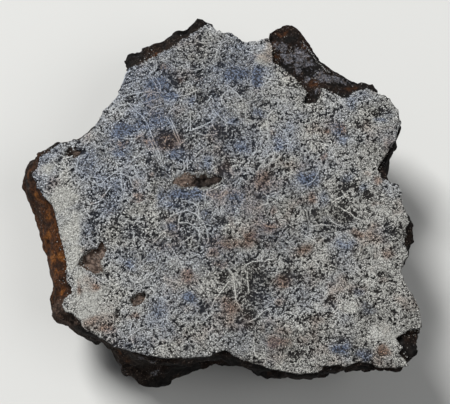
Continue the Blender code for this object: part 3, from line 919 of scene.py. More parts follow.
@dataclass
class Grid:
    """Values over the face on square cells, blended between the cells' middles."""

    corner: Array
    cell: float
    values: Array

    @classmethod
    def of_heights(cls, points: Array, cell: float) -> "Grid":
        """Average points' heights over cells, and fill the empty cells from those beside them.

        Args:
            points: places in space.
            cell: width of a cell.

        Returns:
            The grid of heights.
        """
        corner = points[:, :2].min(axis=0) - 3 * cell
        shape = np.ceil((points[:, :2].max(axis=0) - corner) / cell).astype(int) + 4
        home = np.floor((points[:, :2] - corner) / cell).astype(int)
        number = home[:, 0] * shape[1] + home[:, 1]
        total = np.bincount(number, points[:, 2], shape.prod()).reshape(shape)
        count = np.bincount(number, minlength=shape.prod()).reshape(shape)
        known = count > 0
        mean = np.where(known, total / np.maximum(count, 1), 0.0)
        for _ in range(12):
            around, seen = (
                sum(np.roll(values, step, axis) for axis in (0, 1) for step in (1, -1))
                for values in (mean * known, known.astype(float))
            )
            mean = np.where(known, mean, around / np.maximum(seen, 1))
            known = known | (seen > 0)
        return cls(corner, cell, mean)

    @classmethod
    def of_nearness(cls, points: Array, cell: float, reach: float) -> "Grid":
        """Mark the cells that points fall in, and spread each mark as a round bell curve.

        Args:
            points: places on the face.
            cell: width of a cell.
            reach: distance at which the bell has fallen to about a third.

        Returns:
            The grid, 1 at a point and 0 far away.
        """
        corner = points.min(axis=0) - 10 * cell
        shape = np.ceil((points.max(axis=0) - corner) / cell).astype(int) + 12
        marks = np.zeros(shape)
        home = np.floor((points - corner) / cell).astype(int)
        marks[home[:, 0], home[:, 1]] = 1.0
        spread = np.zeros_like(marks)
        across = math.ceil(2.2 * reach / cell)
        for dx, dy in itertools.product(range(-across, across + 1), repeat=2):
            bell = math.exp(-((dx * dx + dy * dy) * cell * cell) / reach**2)
            spread = np.maximum(spread, bell * np.roll(marks, (dx, dy), (0, 1)))
        return cls(corner, cell, spread)

    def at(self, places: Array) -> Array:
        """Blend the four nearest cells' values by how near each one's middle is.

        Args:
            places: places on the face.

        Returns:
            One value for each place.
        """
        scaled = (places - self.corner) / self.cell - 0.5
        home = np.clip(np.floor(scaled).astype(int), 0, np.array(self.values.shape) - 2)
        part = np.clip(scaled - home, 0.0, 1.0)
        total = np.zeros(len(places))
        for dx, dy in itertools.product((0, 1), repeat=2):
            share = np.abs(1 - dx - part[:, 0]) * np.abs(1 - dy - part[:, 1])
            total += share * self.values[home[:, 0] + dx, home[:, 1] + dy]
        return total


@dataclass
class FaceMap:
    """What grows where on the face: how closed the crust is, its stains, and its height."""

    seed: int = 3
    net_sizes: tuple[float, ...] = (1.15, 0.8, 0.55)
    net_bend: Lumps = Lumps(0.8, 1, 31)
    pinhole_lumps: Lumps = Lumps(0.31, 1, 47, 12.0)
    closed_lumps: Lumps = Lumps(6.5, 4, 20, 20.0)
    blue_lumps: Lumps = Lumps(5.0, 3, 60)
    brown_lumps: Lumps = Lumps(4.0, 3, 70)
    dull_lumps: Lumps = Lumps(3.5, 4, 85, 70.0)
    wide_lumps: Lumps = Lumps(11.0, 1, 88, 35.0)
    white_lumps: Lumps = Lumps(1.8, 3, 120)
    coarse_lumps: Lumps = Lumps(9.0, 2, 80)
    groove_bend: Lumps = Lumps(1.6, 1, 111)
    groove_lumps: Lumps = Lumps(1.5, 1, 113)
    groove_width: float = 0.24
    swell: Lumps = Lumps(3.4, 3, 90, 40.0)
    swell_height: float = 0.16
    grain: Lumps = Lumps(0.6, 2, 95)
    grain_height: float = 0.10
    thread_height: float = 0.08
    pit_drop: float = 0.34
    groove_drop: float = 0.35
    sheet_cell: float = 0.7
    traced_step: float = 0.15
    thread_count: int = 480
    thread_steps: tuple[int, int] = (5, 46)
    thread_step: float = 0.16
    thread_cell: float = 0.1
    thread_reach: float = 0.17
    rim: Mesh = field(init=False)
    sheet: Mesh = field(init=False)
    bare_rim: Mesh = field(init=False)
    heights: Grid = field(init=False)
    threads: Array = field(init=False)
    near_thread: Grid = field(init=False)

    def __post_init__(self) -> None:
        """Take the lower side of the frame's crust as the sheet that everything stands on."""
        points, faces = node_mesh("dypingite_crust")
        normals = face_normals(points, faces)
        lower = faces[normals[:, 2] < -0.4 * np.linalg.norm(normals, axis=1)]
        used, numbers = np.unique(lower, return_inverse=True)
        self.sheet = points[used], numbers.reshape(lower.shape)[:, ::-1]
        edges = outer_edges(self.sheet[1])
        flat = self.sheet[0][:, :2]
        self.rim = flat[edges[:, 0]], flat[edges[:, 1]]
        self.bare_rim = self.top_outline()
        self.heights = Grid.of_heights(merged(*cut_apart(*self.sheet, 4))[0], self.sheet_cell)
        random = np.random.default_rng(self.seed)
        traced = along_lines(THREADS, self.traced_step)
        lines = np.concatenate([traced, self.random_threads(random)])
        self.threads = lines[self.inside(lines)]
        self.near_thread = Grid.of_nearness(self.threads, self.thread_cell, self.thread_reach)

    @staticmethod
    def top_outline() -> Mesh:
        """The outline of the rock's top, from those of its faces that look up and lie high.

        Returns:
            The starts and the ends of its edges.
        """
        points, faces = node_mesh("matrix_rock")
        normals = face_normals(points, faces)
        high = points[faces][..., 2].min(axis=1) > LEDGE_LEVEL
        edges = outer_edges(faces[high & (normals[:, 2] > 0.75 * np.linalg.norm(normals, axis=1))])
        return points[edges[:, 0], :2], points[edges[:, 1], :2]

    def from_rim(self, places: Array) -> Array:
        """Distance of each place from the crust's outline.

        Args:
            places: places on the face.

        Returns:
            One distance for each place.
        """
        away = np.full(len(places), np.inf)
        for start, end in zip(*self.rim):
            away = np.minimum(away, line_distance(places, np.array([start, end])))
        return away

    def random_threads(self, random: np.random.Generator) -> Array:
        """Points along curved lines: each starts anywhere and turns steadily as it goes on.

        Args:
            random: the run of random numbers.

        Returns:
            The points. More lines are kept at the upper left than at the lower right.
        """
        low, high = self.rim[0].min(axis=0), self.rim[0].max(axis=0)
        start = random.uniform(low, high, (self.thread_count, 2))
        heading = random.uniform(0.0, 2 * math.pi, self.thread_count)
        turning = random.normal(0.0, 0.055, self.thread_count)
        least, most = self.thread_steps
        drawn = random.uniform(0, 1, self.thread_count)
        length = (least + (most - least) * drawn**2).astype(int)
        number = np.arange(most)
        angle = heading[:, None] + turning[:, None] * number[None]
        angle = angle + random.normal(0.0, 0.16, angle.shape)
        steps = self.thread_step * np.stack([np.cos(angle), np.sin(angle)], axis=-1)
        points = start[:, None] + np.cumsum(steps, axis=1)
        share = 0.5 - 0.009 * start[:, 0] + 0.006 * start[:, 1]
        fewer = random.uniform(0, 1, self.thread_count) < share
        return points[(number[None] < length[:, None]) & fewer[:, None]]

    def inside(self, places: Array) -> Array:
        """Which places lie on the crust, clear of its openings."""
        return inside_edges(places, *self.rim)

    @staticmethod
    def lower_right(places: Array) -> Array:
        """How far to the lower right each place lies, from 0 to 1 over 40 mm."""
        return np.clip((places[:, 0] - places[:, 1] - 10.0) / 40.0, 0.0, 1.0)

    def smoothness(self, places: Array) -> Array:
        """Where the film is bare and smooth, from 0 to 1."""
        return patch_strength(places, SMOOTH_PATCHES)

    def closedness(self, places: Array) -> Array:
        """How closed the crust is, from 0 to 1, by broad noise that fades to the lower right.

        It is less in dark patches, and more in bright, blue, smooth and white ones.

        Args:
            places: places on the face.

        Returns:
            One value for each place.
        """
        drift = 0.14 * self.lower_right(places)
        share = 0.62 + 1.3 * drift + (0.52 - 1.6 * drift) * self.closed_lumps.at(places)
        share -= 0.95 * patch_strength(places, DARK_PATCHES)
        share += 0.35 * patch_strength(places, BRIGHT_PATCHES)
        share += 0.35 * patch_strength(places, BLUE_PATCHES)
        closed = self.smoothness(places) + patch_strength(places, WHITE_PATCHES)
        return np.clip(share + 0.5 * closed, 0.0, 1.0)

    def pit_depth(self, places: Array) -> Array:
        """Depth of the pits, from 0 on the crust to 1 at the bottom of a pit.

        The crust is a net of strands. They follow the lines on which each of three noises is
        nought, and are as wide as the crust is closed there. What no strand or thread covers is
        a pit, and so is a pinhole, where a finer noise is high. Pits are shallow where the crust
        is white.

        Args:
            places: places on the face.

        Returns:
            One depth for each place.
        """
        closed = self.closedness(places)
        width = 0.17 + 0.95 * closed**1.25
        bent = places + 0.22 * self.net_bend.shift(places)
        thread = self.near_thread.at(places)
        strand = np.zeros(len(places))
        for number, size in enumerate(self.net_sizes):
            line = np.abs(Lumps(size, 1, 41 + number, 25.0 + 31.0 * number).at(bent))
            strand = np.maximum(strand, np.clip(1.6 * (1.0 - line / width), 0.0, 1.0))
        strand = np.maximum(strand, np.clip(1.5 * thread, 0.0, 1.0))
        fine = self.pinhole_lumps.at(bent)
        hole = np.clip(5.0 * (fine + 0.1 - 0.5 * closed), 0.0, 1.0) * (1.0 - thread)
        return np.maximum(1.0 - strand, hole) * (1.0 - 1.1 * self.whiteness(places))

    def blueness(self, places: Array) -> Array:
        """How slate-blue the film is: patches, noise, and a broad drift to the upper left.

        Args:
            places: places on the face.

        Returns:
            Values from 0 to 1.
        """
        drift = 0.40 - 0.007 * places[:, 0] + 0.006 * places[:, 1]
        patches = 0.65 * patch_strength(places, BLUE_PATCHES)
        blue = drift + 0.6 * self.blue_lumps.at(places) + patches - 0.14
        return np.clip(blue - 0.6 * patch_strength(places, WHITE_PATCHES), 0.0, 1.0)

    def brownness(self, places: Array) -> Array:
        """How brown-stained the film is: patches and noise."""
        patches = 0.9 * patch_strength(places, BROWN_PATCHES)
        return np.clip(0.95 * (self.brown_lumps.at(places) - 0.08) + patches - 0.1, 0.0, 0.9)

    def shade(self, places: Array) -> Array:
        """How dull the crust is, from 0 to 1, by a broad and a wider noise.

        It is more in dark patches and to the lower right, and less in bright and white patches.

        Args:
            places: places on the face.

        Returns:
            One value for each place.
        """
        pale = patch_strength(places, BRIGHT_PATCHES) + 2.0 * patch_strength(places, WHITE_PATCHES)
        noise = 0.9 * self.dull_lumps.at(places) + 0.35 * self.wide_lumps.at(places)
        patches = 0.6 * patch_strength(places, DARK_PATCHES) - 0.55 * pale
        return np.clip(0.24 + 0.34 * self.lower_right(places) + noise + patches, 0.0, 1.0)

    def whiteness(self, places: Array) -> Array:
        """Where the crust is thickest and whitest, from 0 to 0.75: patches with ragged edges."""
        ragged = 0.4 * self.white_lumps.at(places)
        return np.clip(1.3 * patch_strength(places, WHITE_PATCHES) - 0.25 + ragged, 0.0, 0.75)

    def coarseness(self, places: Array) -> Array:
        """Size of the grains here: coarse in the middle and upper left, fine at the lower right."""
        drift = 0.55 - 0.010 * places[:, 0] + 0.008 * places[:, 1]
        return np.clip(drift + 0.4 * self.coarse_lumps.at(places), 0.0, 1.0)

    def groove_depth(self, places: Array) -> Array:
        """Depth of the narrow steps and hollows: 1 on a step's line or in a hollow's middle. The
        film is darkened by it as well, as painted shade.

        Args:
            places: places on the face.

        Returns:
            One depth for each place.
        """
        depth = np.zeros(len(places))
        bent = places + 0.7 * self.groove_bend.shift(places)
        for line in GROOVES:
            away = line_distance(bent, np.array(line) + FACE_SHIFT)
            depth = np.maximum(depth, np.exp(-((away / self.groove_width) ** 2)))
        depth = depth * np.clip(0.6 + 1.2 * self.groove_lumps.at(places), 0.0, 1.0)
        return np.maximum(depth, spot_strength(places, HOLLOWS, 4))

    def relief(self, places: Array) -> Array:
        """Height of the film over the sheet: swells, grain and threads, less pits and grooves.

        Args:
            places: places on the face.

        Returns:
            One height for each place.
        """
        swell = self.swell_height * self.swell.at(places)
        smooth = 1.0 - 0.8 * self.smoothness(places)
        grain = self.grain_height * self.grain.at(places) * smooth
        thread = self.thread_height * self.near_thread.at(places)
        sunk = self.pit_drop * self.pit_depth(places) + self.groove_drop * self.groove_depth(places)
        return swell + grain + thread - sunk


@dataclass
class CrustFilm:
    """The skin of the crust: a closed sheet with pits, on the rock."""

    face: FaceMap
    parts: int = 10
    thickness: float = 0.46
    sunk: float = 0.26
    frayed: float = 0.42
    fray_reach: float = 0.9
    wide_fray: Lumps = Lumps(1.1, 1, 101)
    fine_fray: Lumps = Lumps(0.45, 1, 103)

    def points_and_faces(self) -> tuple[Array, Array, Array]:
        """Build the top from the sheet cut finer, the bottom from the sheet, and a wall between.

        Returns:
            The points, the triangles, and the places that the masks are read at.
        """
        base, faces = self.face.sheet
        fine, top_faces = cut_apart(base, faces, self.parts)
        edges = outer_edges(faces)
        steps = (np.arange(self.parts + 1) / self.parts)[None, :, None]
        wall = base[edges[:, 0]][:, None] * (1 - steps) + base[edges[:, 1]][:, None] * steps
        every = np.concatenate([fine, wall.reshape(-1, 3)])
        first, number = numbered(every)
        top = every[first]
        above = number[len(fine) :].reshape(len(edges), self.parts + 1)
        below = edges + len(top)
        walls = [np.stack([below[:, 0], below[:, 1], above[:, self.parts]], axis=1)]
        for step in range(self.parts):
            walls.append(np.stack([below[:, 0], above[:, step + 1], above[:, step]], axis=1))
        places = top[:, :2].copy()
        raised = top + np.column_stack([self.edge_fray(places), np.zeros(len(places))])
        raised[:, 2] += self.thickness + self.face.relief(places)
        lowered = base - np.array([0.0, 0.0, self.sunk])
        all_faces = np.concatenate([number[top_faces], faces[:, ::-1] + len(top), *walls])
        return np.concatenate([raised, lowered]), all_faces, np.concatenate([places, base[:, :2]])

    def edge_fray(self, places: Array) -> Array:
        """Move places near the rim sideways by noise, most round the middle opening.

        Args:
            places: places on the face.

        Returns:
            How far each place moves.
        """
        near = np.exp(-self.face.from_rim(places) / self.fray_reach)
        middle = np.exp(-((places[:, 0] + 3.0) ** 2 + (places[:, 1] - 2.0) ** 2) / 30.0)
        near *= 1.0 + 1.3 * middle
        moved = 0.8 * self.wide_fray.shift(places) + 0.4 * self.fine_fray.shift(places)
        return self.frayed * near[:, None] * moved

    def build(self, finish: FilmFinish) -> bpy.types.Object:
        """Make the film, dress it and let it stand for the frame's crust.

        Args:
            finish: its looks.

        Returns:
            The film.
        """
        points, faces, places = self.points_and_faces()
        low, high = (np.array(corner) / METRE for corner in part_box("dypingite_crust"))
        points = np.clip(points, low - self.sunk, high)
        # Pits show the bare rock; steps and hollows are darkened the same way, as painted shade
        depth = np.maximum(self.face.pit_depth(places), self.face.groove_depth(places))
        smooth = self.face.smoothness(places)
        piece = new_piece(
            "crust_film",
            points,
            faces,
            finish.material(),
            "crust",
            cover=1.0 - depth,
            blue=np.clip(self.face.blueness(places) + 0.3 * smooth, 0.0, 1.0),
            brown=self.face.brownness(places),
            shade=self.face.shade(places) * (1.0 - smooth),
            white=self.face.whiteness(places),
        )
        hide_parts("dypingite_crust")
        return piece


@dataclass(frozen=True)
class Ball:
    """A small closed ball of few faces, of radius 1."""

    points: Array
    faces: Array

    @classmethod
    def of(cls, grain: Grain) -> "Ball":
        """A ball of 20 faces for a coarse grain, or of 10 for a fine one.

        Args:
            grain: which of the two. The coarse one is an icosahedron, the corners of three
                crossed golden rectangles. The fine one is a ring of five points with a point
                above and one below.

        Returns:
            The ball.
        """
        if grain is Grain.COARSE:
            long = (1 + math.sqrt(5)) / 2
            corners = [(-1, long, 0), (1, long, 0), (-1, -long, 0), (1, -long, 0)]
            points = np.array(
                corners + [(z, x, y) for x, y, z in corners] + [(y, z, x) for x, y, z in corners]
            )
            points /= np.linalg.norm(points[0])
            return cls(points, cls.hull_faces(points))
        number = np.arange(5)
        angles = number * 2 * math.pi / 5
        ring = np.stack([np.cos(angles), np.sin(angles), np.zeros(5)], axis=1)
        points = np.concatenate([ring, [[0, 0, 0.95], [0, 0, -0.95]]])
        following = np.roll(number, -1)
        upper = np.stack([number, following, np.full(5, 5)], axis=1)
        lower = np.stack([following, number, np.full(5, 6)], axis=1)
        return cls(points, np.concatenate([upper, lower]))

    @staticmethod
    def hull_faces(points: Array) -> Array:
        """The triangles between corners that are all one edge apart, turned outwards.

        Args:
            points: the corners.

        Returns:
            The triangles.
        """
        edge = np.sort(np.linalg.norm(points - points[0], axis=1))[1] * 1.01
        near = np.linalg.norm(points[:, None] - points[None], axis=2) < edge
        faces = []
        for i, j, k in itertools.combinations(range(len(points)), 3):
            if near[i, j] and near[j, k] and near[i, k]:
                out = np.dot(np.cross(points[j] - points[i], points[k] - points[i]), points[i])
                faces.append((i, j, k) if out > 0 else (i, k, j))
        return np.array(faces)


@dataclass
class Spherules:
    """Thousands of pale spherules on the film, in rows along threads and scattered between."""

    face: FaceMap
    rock_heights: Grid
    material: bpy.types.Material
    coarse_step: float = 0.58
    fine_step: float = 0.17
    crumb_step: float = 0.42
    bank_step: float = 0.15
    bridge_step: float = 0.05
    ridge_step: float = 0.14
    film_top: float = 0.46
    gap_lumps: Lumps = Lumps(0.9, 1, 130, 50.0)
    bank_lumps: Lumps = Lumps(1.1, 1, 140)
    most_faces: int = 190_000
    seed: int = 7
    random: np.random.Generator = field(init=False)

    def __post_init__(self) -> None:
        """Start the run of random numbers."""
        self.random = np.random.default_rng(self.seed)

    def drawn(self, places: Array) -> Array:
        """An even random number from 0 to 1 for each place."""
        return self.random.uniform(0, 1, len(places))

    def scattered(self, step: float) -> Array:
        """Places on a square grid over the face's box, each moved within its cell.

        Args:
            step: width of a cell.

        Returns:
            The places.
        """
        low = self.face.rim[0].min(axis=0) - 3.0
        high = self.face.rim[0].max(axis=0) + 3.0
        rows = (np.arange(low[axis], high[axis], step) for axis in (0, 1))
        places = np.stack(np.meshgrid(*rows, indexing="ij"), axis=-1).reshape(-1, 2)
        return places + self.random.uniform(-0.5, 0.5, places.shape) * step

    def on_film(self, step: float, in_pits: float) -> Array:
        """Scattered places on the crust, kept by chance: surely on a strand, rarely in a pit.

        They are fewer where the film is smooth or blue, and none lie in a groove.

        Args:
            step: mean distance between the places.
            in_pits: the chance in a pit.

        Returns:
            The places kept.
        """
        places = self.scattered(step)
        places = places[self.face.inside(places)]
        strand = np.clip(1.6 - 1.7 * self.face.pit_depth(places), 0.0, 1.0)
        strand *= np.clip(0.75 + 0.9 * self.gap_lumps.at(places), 0.15, 1.0)
        open_share = 1.0 - 0.85 * self.face.smoothness(places) - self.face.groove_depth(places)
        open_share -= 0.5 * patch_strength(places, BLUE_PATCHES)
        chance = (in_pits + (1.0 - in_pits) * strand) * np.clip(open_share, 0.0, 1.0)
        return places[self.drawn(places) < chance]

    def crumbs(self) -> Array:
        """Places on the bare rock beside the crust's edge, fewer with the distance from it.

        Returns:
            The places.
        """
        places = self.scattered(self.crumb_step)
        places = places[~self.face.inside(places)]
        places = places[inside_edges(places, *self.face.bare_rim)]
        away = self.face.from_rim(places)
        chance = 0.8 * np.exp(-away / 0.45) + 0.03 * np.exp(-away / 2.5)
        chance += 0.6 * patch_strength(places, SPECK_PATCHES) ** 2
        return places[self.drawn(places) < chance]

    def banks(self) -> tuple[Array, Array]:
        """Places along the inner edges of the openings, where spherules lie in a ragged bank.

        Returns:
            The places, and how high each lies from the rock, 0, to the top of the film, 1.
        """
        places = self.scattered(self.bank_step)
        width = np.zeros(len(places))
        for cx, cy, reach, _, bank in OPENINGS:
            near = np.hypot(places[:, 0] - cx, places[:, 1] - cy) < reach + 1.5
            width = np.where(near, np.maximum(width, bank), width)
        places, width = places[width > 0.0], width[width > 0.0]
        clear = ~self.face.inside(places)
        places, width = places[clear], width[clear]
        width = width * (0.75 + 0.9 * self.bank_lumps.at(places))
        share = 1.0 - self.face.from_rim(places) / np.maximum(width, 0.05)
        kept = (share > 0.0) & (self.drawn(places) < 0.75 + 0.25 * share)
        return places[kept], share[kept] ** 1.3

    def add(self, name: str, grain: Grain, middles: Array, radii: Array, dimness: Array) -> None:
        """Set a turned ball at each place and share the balls between pieces of bearable size.

        A ball's turn comes from four normal numbers scaled to length 1, a unit quaternion.

        Args:
            name: start of the pieces' names.
            grain: the balls' shape.
            middles: their middles.
            radii: their radii.
            dimness: how far each is from the palest tone, from 0 to 1.
        """
        ball = Ball.of(grain)
        order = np.argsort(middles[:, 0], kind="stable")
        middles, radii, dimness = middles[order], radii[order], dimness[order]
        four = self.random.normal(size=(len(middles), 4))
        w, x, y, z = (four / np.linalg.norm(four, axis=1, keepdims=True)).T
        turn = np.array(
            [
                [1 - 2 * (y * y + z * z), 2 * (x * y - z * w), 2 * (x * z + y * w)],
                [2 * (x * y + z * w), 1 - 2 * (x * x + z * z), 2 * (y * z - x * w)],
                [2 * (x * z - y * w), 2 * (y * z + x * w), 1 - 2 * (x * x + y * y)],
            ]
        )
        points = np.einsum("ijn,vj->nvi", turn, ball.points) * radii[:, None, None]
        points += middles[:, None]
        points[..., 2] = np.minimum(points[..., 2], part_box("dypingite_crust")[1][2] / METRE)
        masks = {
            "tone": dimness,
            "blue": self.face.blueness(middles[:, :2]),
            "brown": self.face.brownness(middles[:, :2]),
        }
        count = math.ceil(len(middles) * len(ball.faces) / self.most_faces)
        for number, part in enumerate(np.array_split(np.arange(len(middles)), count)):
            offsets = np.arange(len(part))[:, None, None] * len(ball.points)
            new_piece(
                f"{name}_{number + 1}",
                points[part].reshape(-1, 3),
                (ball.faces[None] + offsets).reshape(-1, 3),
                self.material,
                "crust",
                **{key: np.repeat(mask[part], len(ball.points)) for key, mask in masks.items()},
            )

    def on_top(self, places: Array, rise: Array | float) -> Array:
        """Middles this far over the film."""
        film = self.face.heights.at(places) + self.film_top + self.face.relief(places)
        return np.column_stack([places, film + rise])

    def build(self) -> None:
        """Make every spherule: on the crust, in lines, on the bare rock and in the openings."""
        self.build_scattered()
        self.build_lines()
        self.build_crumbs()
        self.build_banks()

    def build_scattered(self) -> None:
        """Coarse spherules, fewer on white crust, and fine ones between them."""
        places = self.on_film(self.coarse_step, 0.14)
        plain = 0.8 * self.face.whiteness(places)
        places = places[self.drawn(places) > plain]
        size = 0.09 + 0.05 * self.face.coarseness(places)
        size = size + self.random.uniform(-0.02, 0.03, len(places))
        rise = size * self.random.uniform(0.2, 0.8, len(places))
        dim = 0.75 * self.drawn(places) ** 2 * (0.4 + 0.6 * self.face.shade(places))
        self.add("coarse_spherules", Grain.COARSE, self.on_top(places, rise), size, dim)
        places = self.on_film(self.fine_step, 0.07)
        size = 0.06 + 0.04 * self.drawn(places) ** 2
        rise = size * self.random.uniform(0.1, 0.7, len(places))
        dim = 0.7 * self.drawn(places) ** 2 + 0.4 * self.face.shade(places)
        self.add("fine_spherules", Grain.FINE, self.on_top(places, rise), size, dim)

    def build_lines(self) -> None:
        """Threads over the film, and rows that bridge the edge of an opening."""
        places = self.face.threads + self.random.normal(0.0, 0.03, self.face.threads.shape)
        size = 0.08 + 0.04 * self.drawn(places)
        rise = size * self.random.uniform(0.7, 1.5, len(places))
        dim = 0.2 * self.drawn(places)
        self.add("thread_spherules", Grain.FINE, self.on_top(places, rise), size, dim)
        places = along_lines(BRIDGES, self.bridge_step)
        places = places + self.random.normal(0.0, 0.07, places.shape)
        size = 0.07 + 0.05 * self.drawn(places)
        rise = self.random.normal(0.22, 0.08, len(places))
        dim = 0.25 * self.drawn(places)
        self.add("bridging_spherules", Grain.COARSE, self.on_top(places, rise), size, dim)

    def build_crumbs(self) -> None:
        """Crumbs on the bare rock and along the ridge at its edge."""
        crumb = self.crumbs()
        ridge = along_lines([RIDGE], self.ridge_step)
        crumb = np.concatenate([crumb, ridge + self.random.normal(0.0, 0.12, ridge.shape)])
        size = 0.05 + 0.08 * self.drawn(crumb)
        middles = np.column_stack([crumb, self.rock_heights.at(crumb) + 0.6 * size])
        dim = self.random.uniform(0.5, 1.0, len(crumb))
        self.add("loose_crumbs", Grain.COARSE, middles, size, dim)

    def build_banks(self) -> None:
        """Banks down the edges of the openings, dimmer towards the rock."""
        bank, share = self.banks()
        size = 0.07 + 0.06 * self.drawn(bank)
        floor = self.rock_heights.at(bank)
        top = self.on_top(bank, 0.0)[:, 2]
        height = floor + share * (top - floor) + self.random.normal(0.0, 0.12, len(bank))
        dim = np.clip(1.1 - 0.7 * share + self.random.normal(0.0, 0.25, len(bank)), 0.0, 1.0)
        middles = np.column_stack([bank, height])
        self.add("bank_spherules", Grain.COARSE, middles, size, dim)


@dataclass
class Rock:
    """The broken rock: the frame's own form, chipped and made rough by noise, with its stains.

    Chips and ridges are pairs of a width and a height.
    """

    face: FaceMap
    parts: int = 5
    chips: tuple[tuple[float, float], ...] = ((7.0, 1.0), (2.8, 0.55))
    ridges: tuple[tuple[float, float], ...] = ((2.2, 0.22), (1.0, 0.16), (0.5, 0.10))
    bend: Lumps = Lumps(2.5, 3, 190)
    rust_lumps: Lumps = Lumps(3.4, 4, 300)
    vein_lumps: Lumps = Lumps(6.0, 4, 310)
    warm_lumps: Lumps = Lumps(1.6, 3, 330)
    top_level: float = 14.0
    cell: float = 0.45
    heights: Grid = field(init=False)

    def rough(self, points: Array) -> Array:
        """Chips and ridges, fewer on the left: a ridge is one less twice its noise's size.

        Args:
            points: places in space.

        Returns:
            How far each place moves outwards.
        """
        bent = points + 0.9 * self.bend.shift(points)
        total = np.full(len(points), -0.15)
        for number, (size, height) in enumerate(self.chips):
            total += height * facets(bent, size, 180 + 10 * number)
        for number, (size, height) in enumerate(self.ridges):
            ridge = 1.0 - 2.0 * np.abs(Lumps(size, 1, 200 + number).at(points))
            total += height * (ridge - 0.3)
        return total * (1.0 - 0.5 * self.leftness(points))

    @staticmethod
    def leftness(points: Array) -> Array:
        """How far a place is on the rusty left side, by its direction from the middle."""
        angle = np.degrees(np.arctan2(points[:, 1], points[:, 0])) % 360.0
        return np.exp(-(((angle - 195.0) / 24.0) ** 4))

    def build(self, finish: RockFinish) -> bpy.types.Object:
        """Make the rock, dress it and let it stand for the frame's rock.

        Points move along their normals: under the crust a little down, on the bare ledges by a
        small share of the roughness, but up by the middle opening, and on the sides by all.

        Args:
            finish: its looks.

        Returns:
            The rock.
        """
        points, faces = merged(*cut_apart(*node_mesh("matrix_rock"), self.parts))
        normals = point_normals(points, faces)
        top = (normals[:, 2] > 0.5) & (points[:, 2] > self.top_level)
        under = self.face.inside(points[:, :2]) & top
        amount = np.where(under, -0.05, self.rough(points))
        raised = 0.8 * np.exp(-((np.hypot(points[:, 0] + 3.2, points[:, 1] - 2.0) / 5.5) ** 4))
        amount = np.where(top & ~under, np.minimum(0.6 * amount, 0.1) + raised, amount)
        amount = evened(amount, faces) * np.clip(points[:, 2] / 1.2, 0.0, 1.0)
        low, high = (np.array(corner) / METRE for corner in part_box("matrix_rock"))
        moved = np.clip(points + normals * amount[:, None], low, high)
        self.heights = Grid.of_heights(moved[top], self.cell)
        piece = new_piece(
            "rock",
            moved,
            faces,
            finish.material(),
            "matrix",
            rust=self.rust(points, under),
            film=self.film(points, normals),
            warm=self.warmth(points),
        )
        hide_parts("matrix_rock")
        return piece

    def rust(self, points: Array, under: Array) -> Array:
        """Limonite on the left side, brightest in its spots, in patches of the ledge and in veins.

        Args:
            points: places in space.
            under: which of them the crust covers.

        Returns:
            Values from 0 to 1.
        """
        outside = ~under & (np.hypot(points[:, 0], points[:, 1]) > 27.0)
        for cx, cy, reach, *_ in OPENINGS:
            outside = outside & (np.hypot(points[:, 0] - cx, points[:, 1] - cy) > reach)
        left = self.leftness(points) * outside
        high = np.clip((points[:, 2] - 4.0) / 6.0, 0.0, 1.0)
        spots = self.rust_lumps.at(points)
        veins = np.clip(self.vein_lumps.at(points) * 2.2 - 0.85, 0.0, 0.3)
        bright = spot_strength(points, OCHRE_SPOTS, 2) * outside
        orange = 0.6 * patch_strength(points[:, :2], ORANGE_PATCHES) * (points[:, 2] > LEDGE_LEVEL)
        rust = left * high * (0.34 + 0.6 * spots) + bright * (0.6 + 0.7 * spots) + veins
        orange = np.clip(orange * (0.6 + 1.4 * spots), 0.0, 0.3)
        return np.clip(np.maximum(rust, orange), 0.0, 1.0)

    def film(self, points: Array, normals: Array) -> Array:
        """Thin grey film in patches on the bare ledge at the upper right and in spots on the side.

        Args:
            points: places in space.
            normals: the unit normals there.

        Returns:
            Values from 0 to 1.
        """
        upward = np.clip(normals[:, 2] * 1.5 - 0.3, 0.0, 1.0) * (points[:, 2] > LEDGE_LEVEL)
        covered = upward * patch_strength(points[:, :2], FILM_PATCHES)
        return np.maximum(covered, spot_strength(points, FILM_SPOTS, 2))

    def warmth(self, points: Array) -> Array:
        """Brown of the openings in the crust and of the lump at the lower left.

        Args:
            points: places in space.

        Returns:
            Values from 0 to 1.
        """
        spots = [opening[:4] for opening in OPENINGS] + WARM_SPOTS
        noise = 0.75 + 0.5 * self.warm_lumps.at(points)
        return np.clip(spot_strength(points, spots, 4) * noise, 0.0, 1.0)


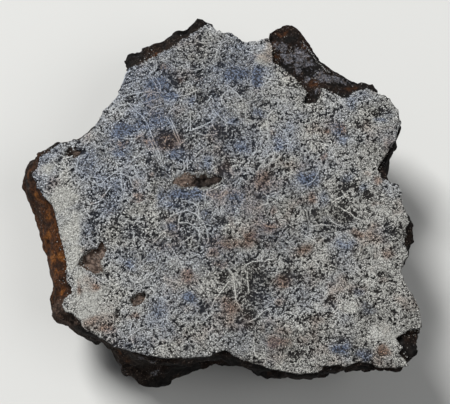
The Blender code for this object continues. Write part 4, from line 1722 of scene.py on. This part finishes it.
@dataclass
class Studio:
    """The plain pale floor, the soft lights and the camera.

    A light has a name, a place, a width and a power in watts.
    """

    elevation: float = 70.0
    lens: float = 100.0
    distance: float = 250.0
    target: Place = (2.2, -2.4, 20.0)
    half_floor: float = 1500.0
    card: str = "#d2d2cf"
    air: str = "#e8eaee"
    air_strength: float = 0.16
    lights: tuple[tuple[str, Place, float, float], ...] = (
        ("key", (-1000.0, 1150.0, 1900.0), 850.0, 70.0),
        ("fill", (1300.0, -500.0, 1700.0), 1300.0, 12.0),
    )

    def build(self) -> None:
        """Set the floor, the lights, the air and the camera."""
        self.floor()
        for light in self.lights:
            self.soft_light(*light)
        world = bpy.data.worlds.new("soft_room")
        world.use_nodes = True
        background = world.node_tree.nodes["Background"]
        background.inputs["Color"].default_value = linear(self.air)
        background.inputs["Strength"].default_value = self.air_strength
        bpy.context.scene.world = world
        bpy.context.scene.view_settings.view_transform = "Standard"
        self.camera()

    def floor(self) -> None:
        """A wide square floor of plain pale card."""
        half = self.half_floor * METRE
        mesh = bpy.data.meshes.new("floor")
        corners = [(-half, -half, 0), (half, -half, 0), (half, half, 0), (-half, half, 0)]
        mesh.from_pydata(corners, [], [(0, 1, 2, 3)])
        card, _, surface = new_material("pale_card", 0.9, 0.5)
        surface["Base Color"].default_value = linear(self.card)
        mesh.materials.append(card)
        floor = bpy.data.objects.new("floor", mesh)
        bpy.context.scene.collection.objects.link(floor)

    @staticmethod
    def soft_light(name: str, place: Place, size: float, power: float) -> None:
        """Add a square soft light that is turned to the specimen.

        Args:
            name: its name.
            place: its middle.
            size: its width.
            power: its power in watts.
        """
        data = bpy.data.lights.new(name, "AREA")
        data.shape = "SQUARE"
        data.size = size * METRE
        data.energy = power
        light = bpy.data.objects.new(name, data)
        light.location = Vector(place) * METRE
        light.rotation_euler = (-Vector(place)).to_track_quat("-Z", "Y").to_euler()
        bpy.context.scene.collection.objects.link(light)

    def camera(self) -> None:
        """The camera at the photograph's angle: high in front, its long side across."""
        data = bpy.data.cameras.new("camera")
        data.lens = self.lens
        data.clip_start = 0.01
        camera = bpy.data.objects.new("camera", data)
        raised = math.radians(self.elevation)
        forward = Vector((0.0, math.cos(raised), -math.sin(raised)))
        target = Vector(self.target) + Vector((*FACE_SHIFT, 0.0))
        camera.location = (target - forward * self.distance) * METRE
        camera.rotation_euler = forward.to_track_quat("-Z", "Y").to_euler()
        bpy.context.scene.collection.objects.link(camera)
        bpy.context.scene.camera = camera


def main() -> None:
    """Build the specimen and the studio."""
    logging.basicConfig(level=logging.INFO, format="%(message)s")
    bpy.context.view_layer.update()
    face = FaceMap()
    rock = Rock(face)
    rock.build(RockFinish())
    CrustFilm(face).build(FilmFinish())
    Spherules(face, rock.heights, SpheruleFinish().material()).build()
    Studio().build()
    bpy.context.view_layer.update()


if __name__ == "__main__":
    main()
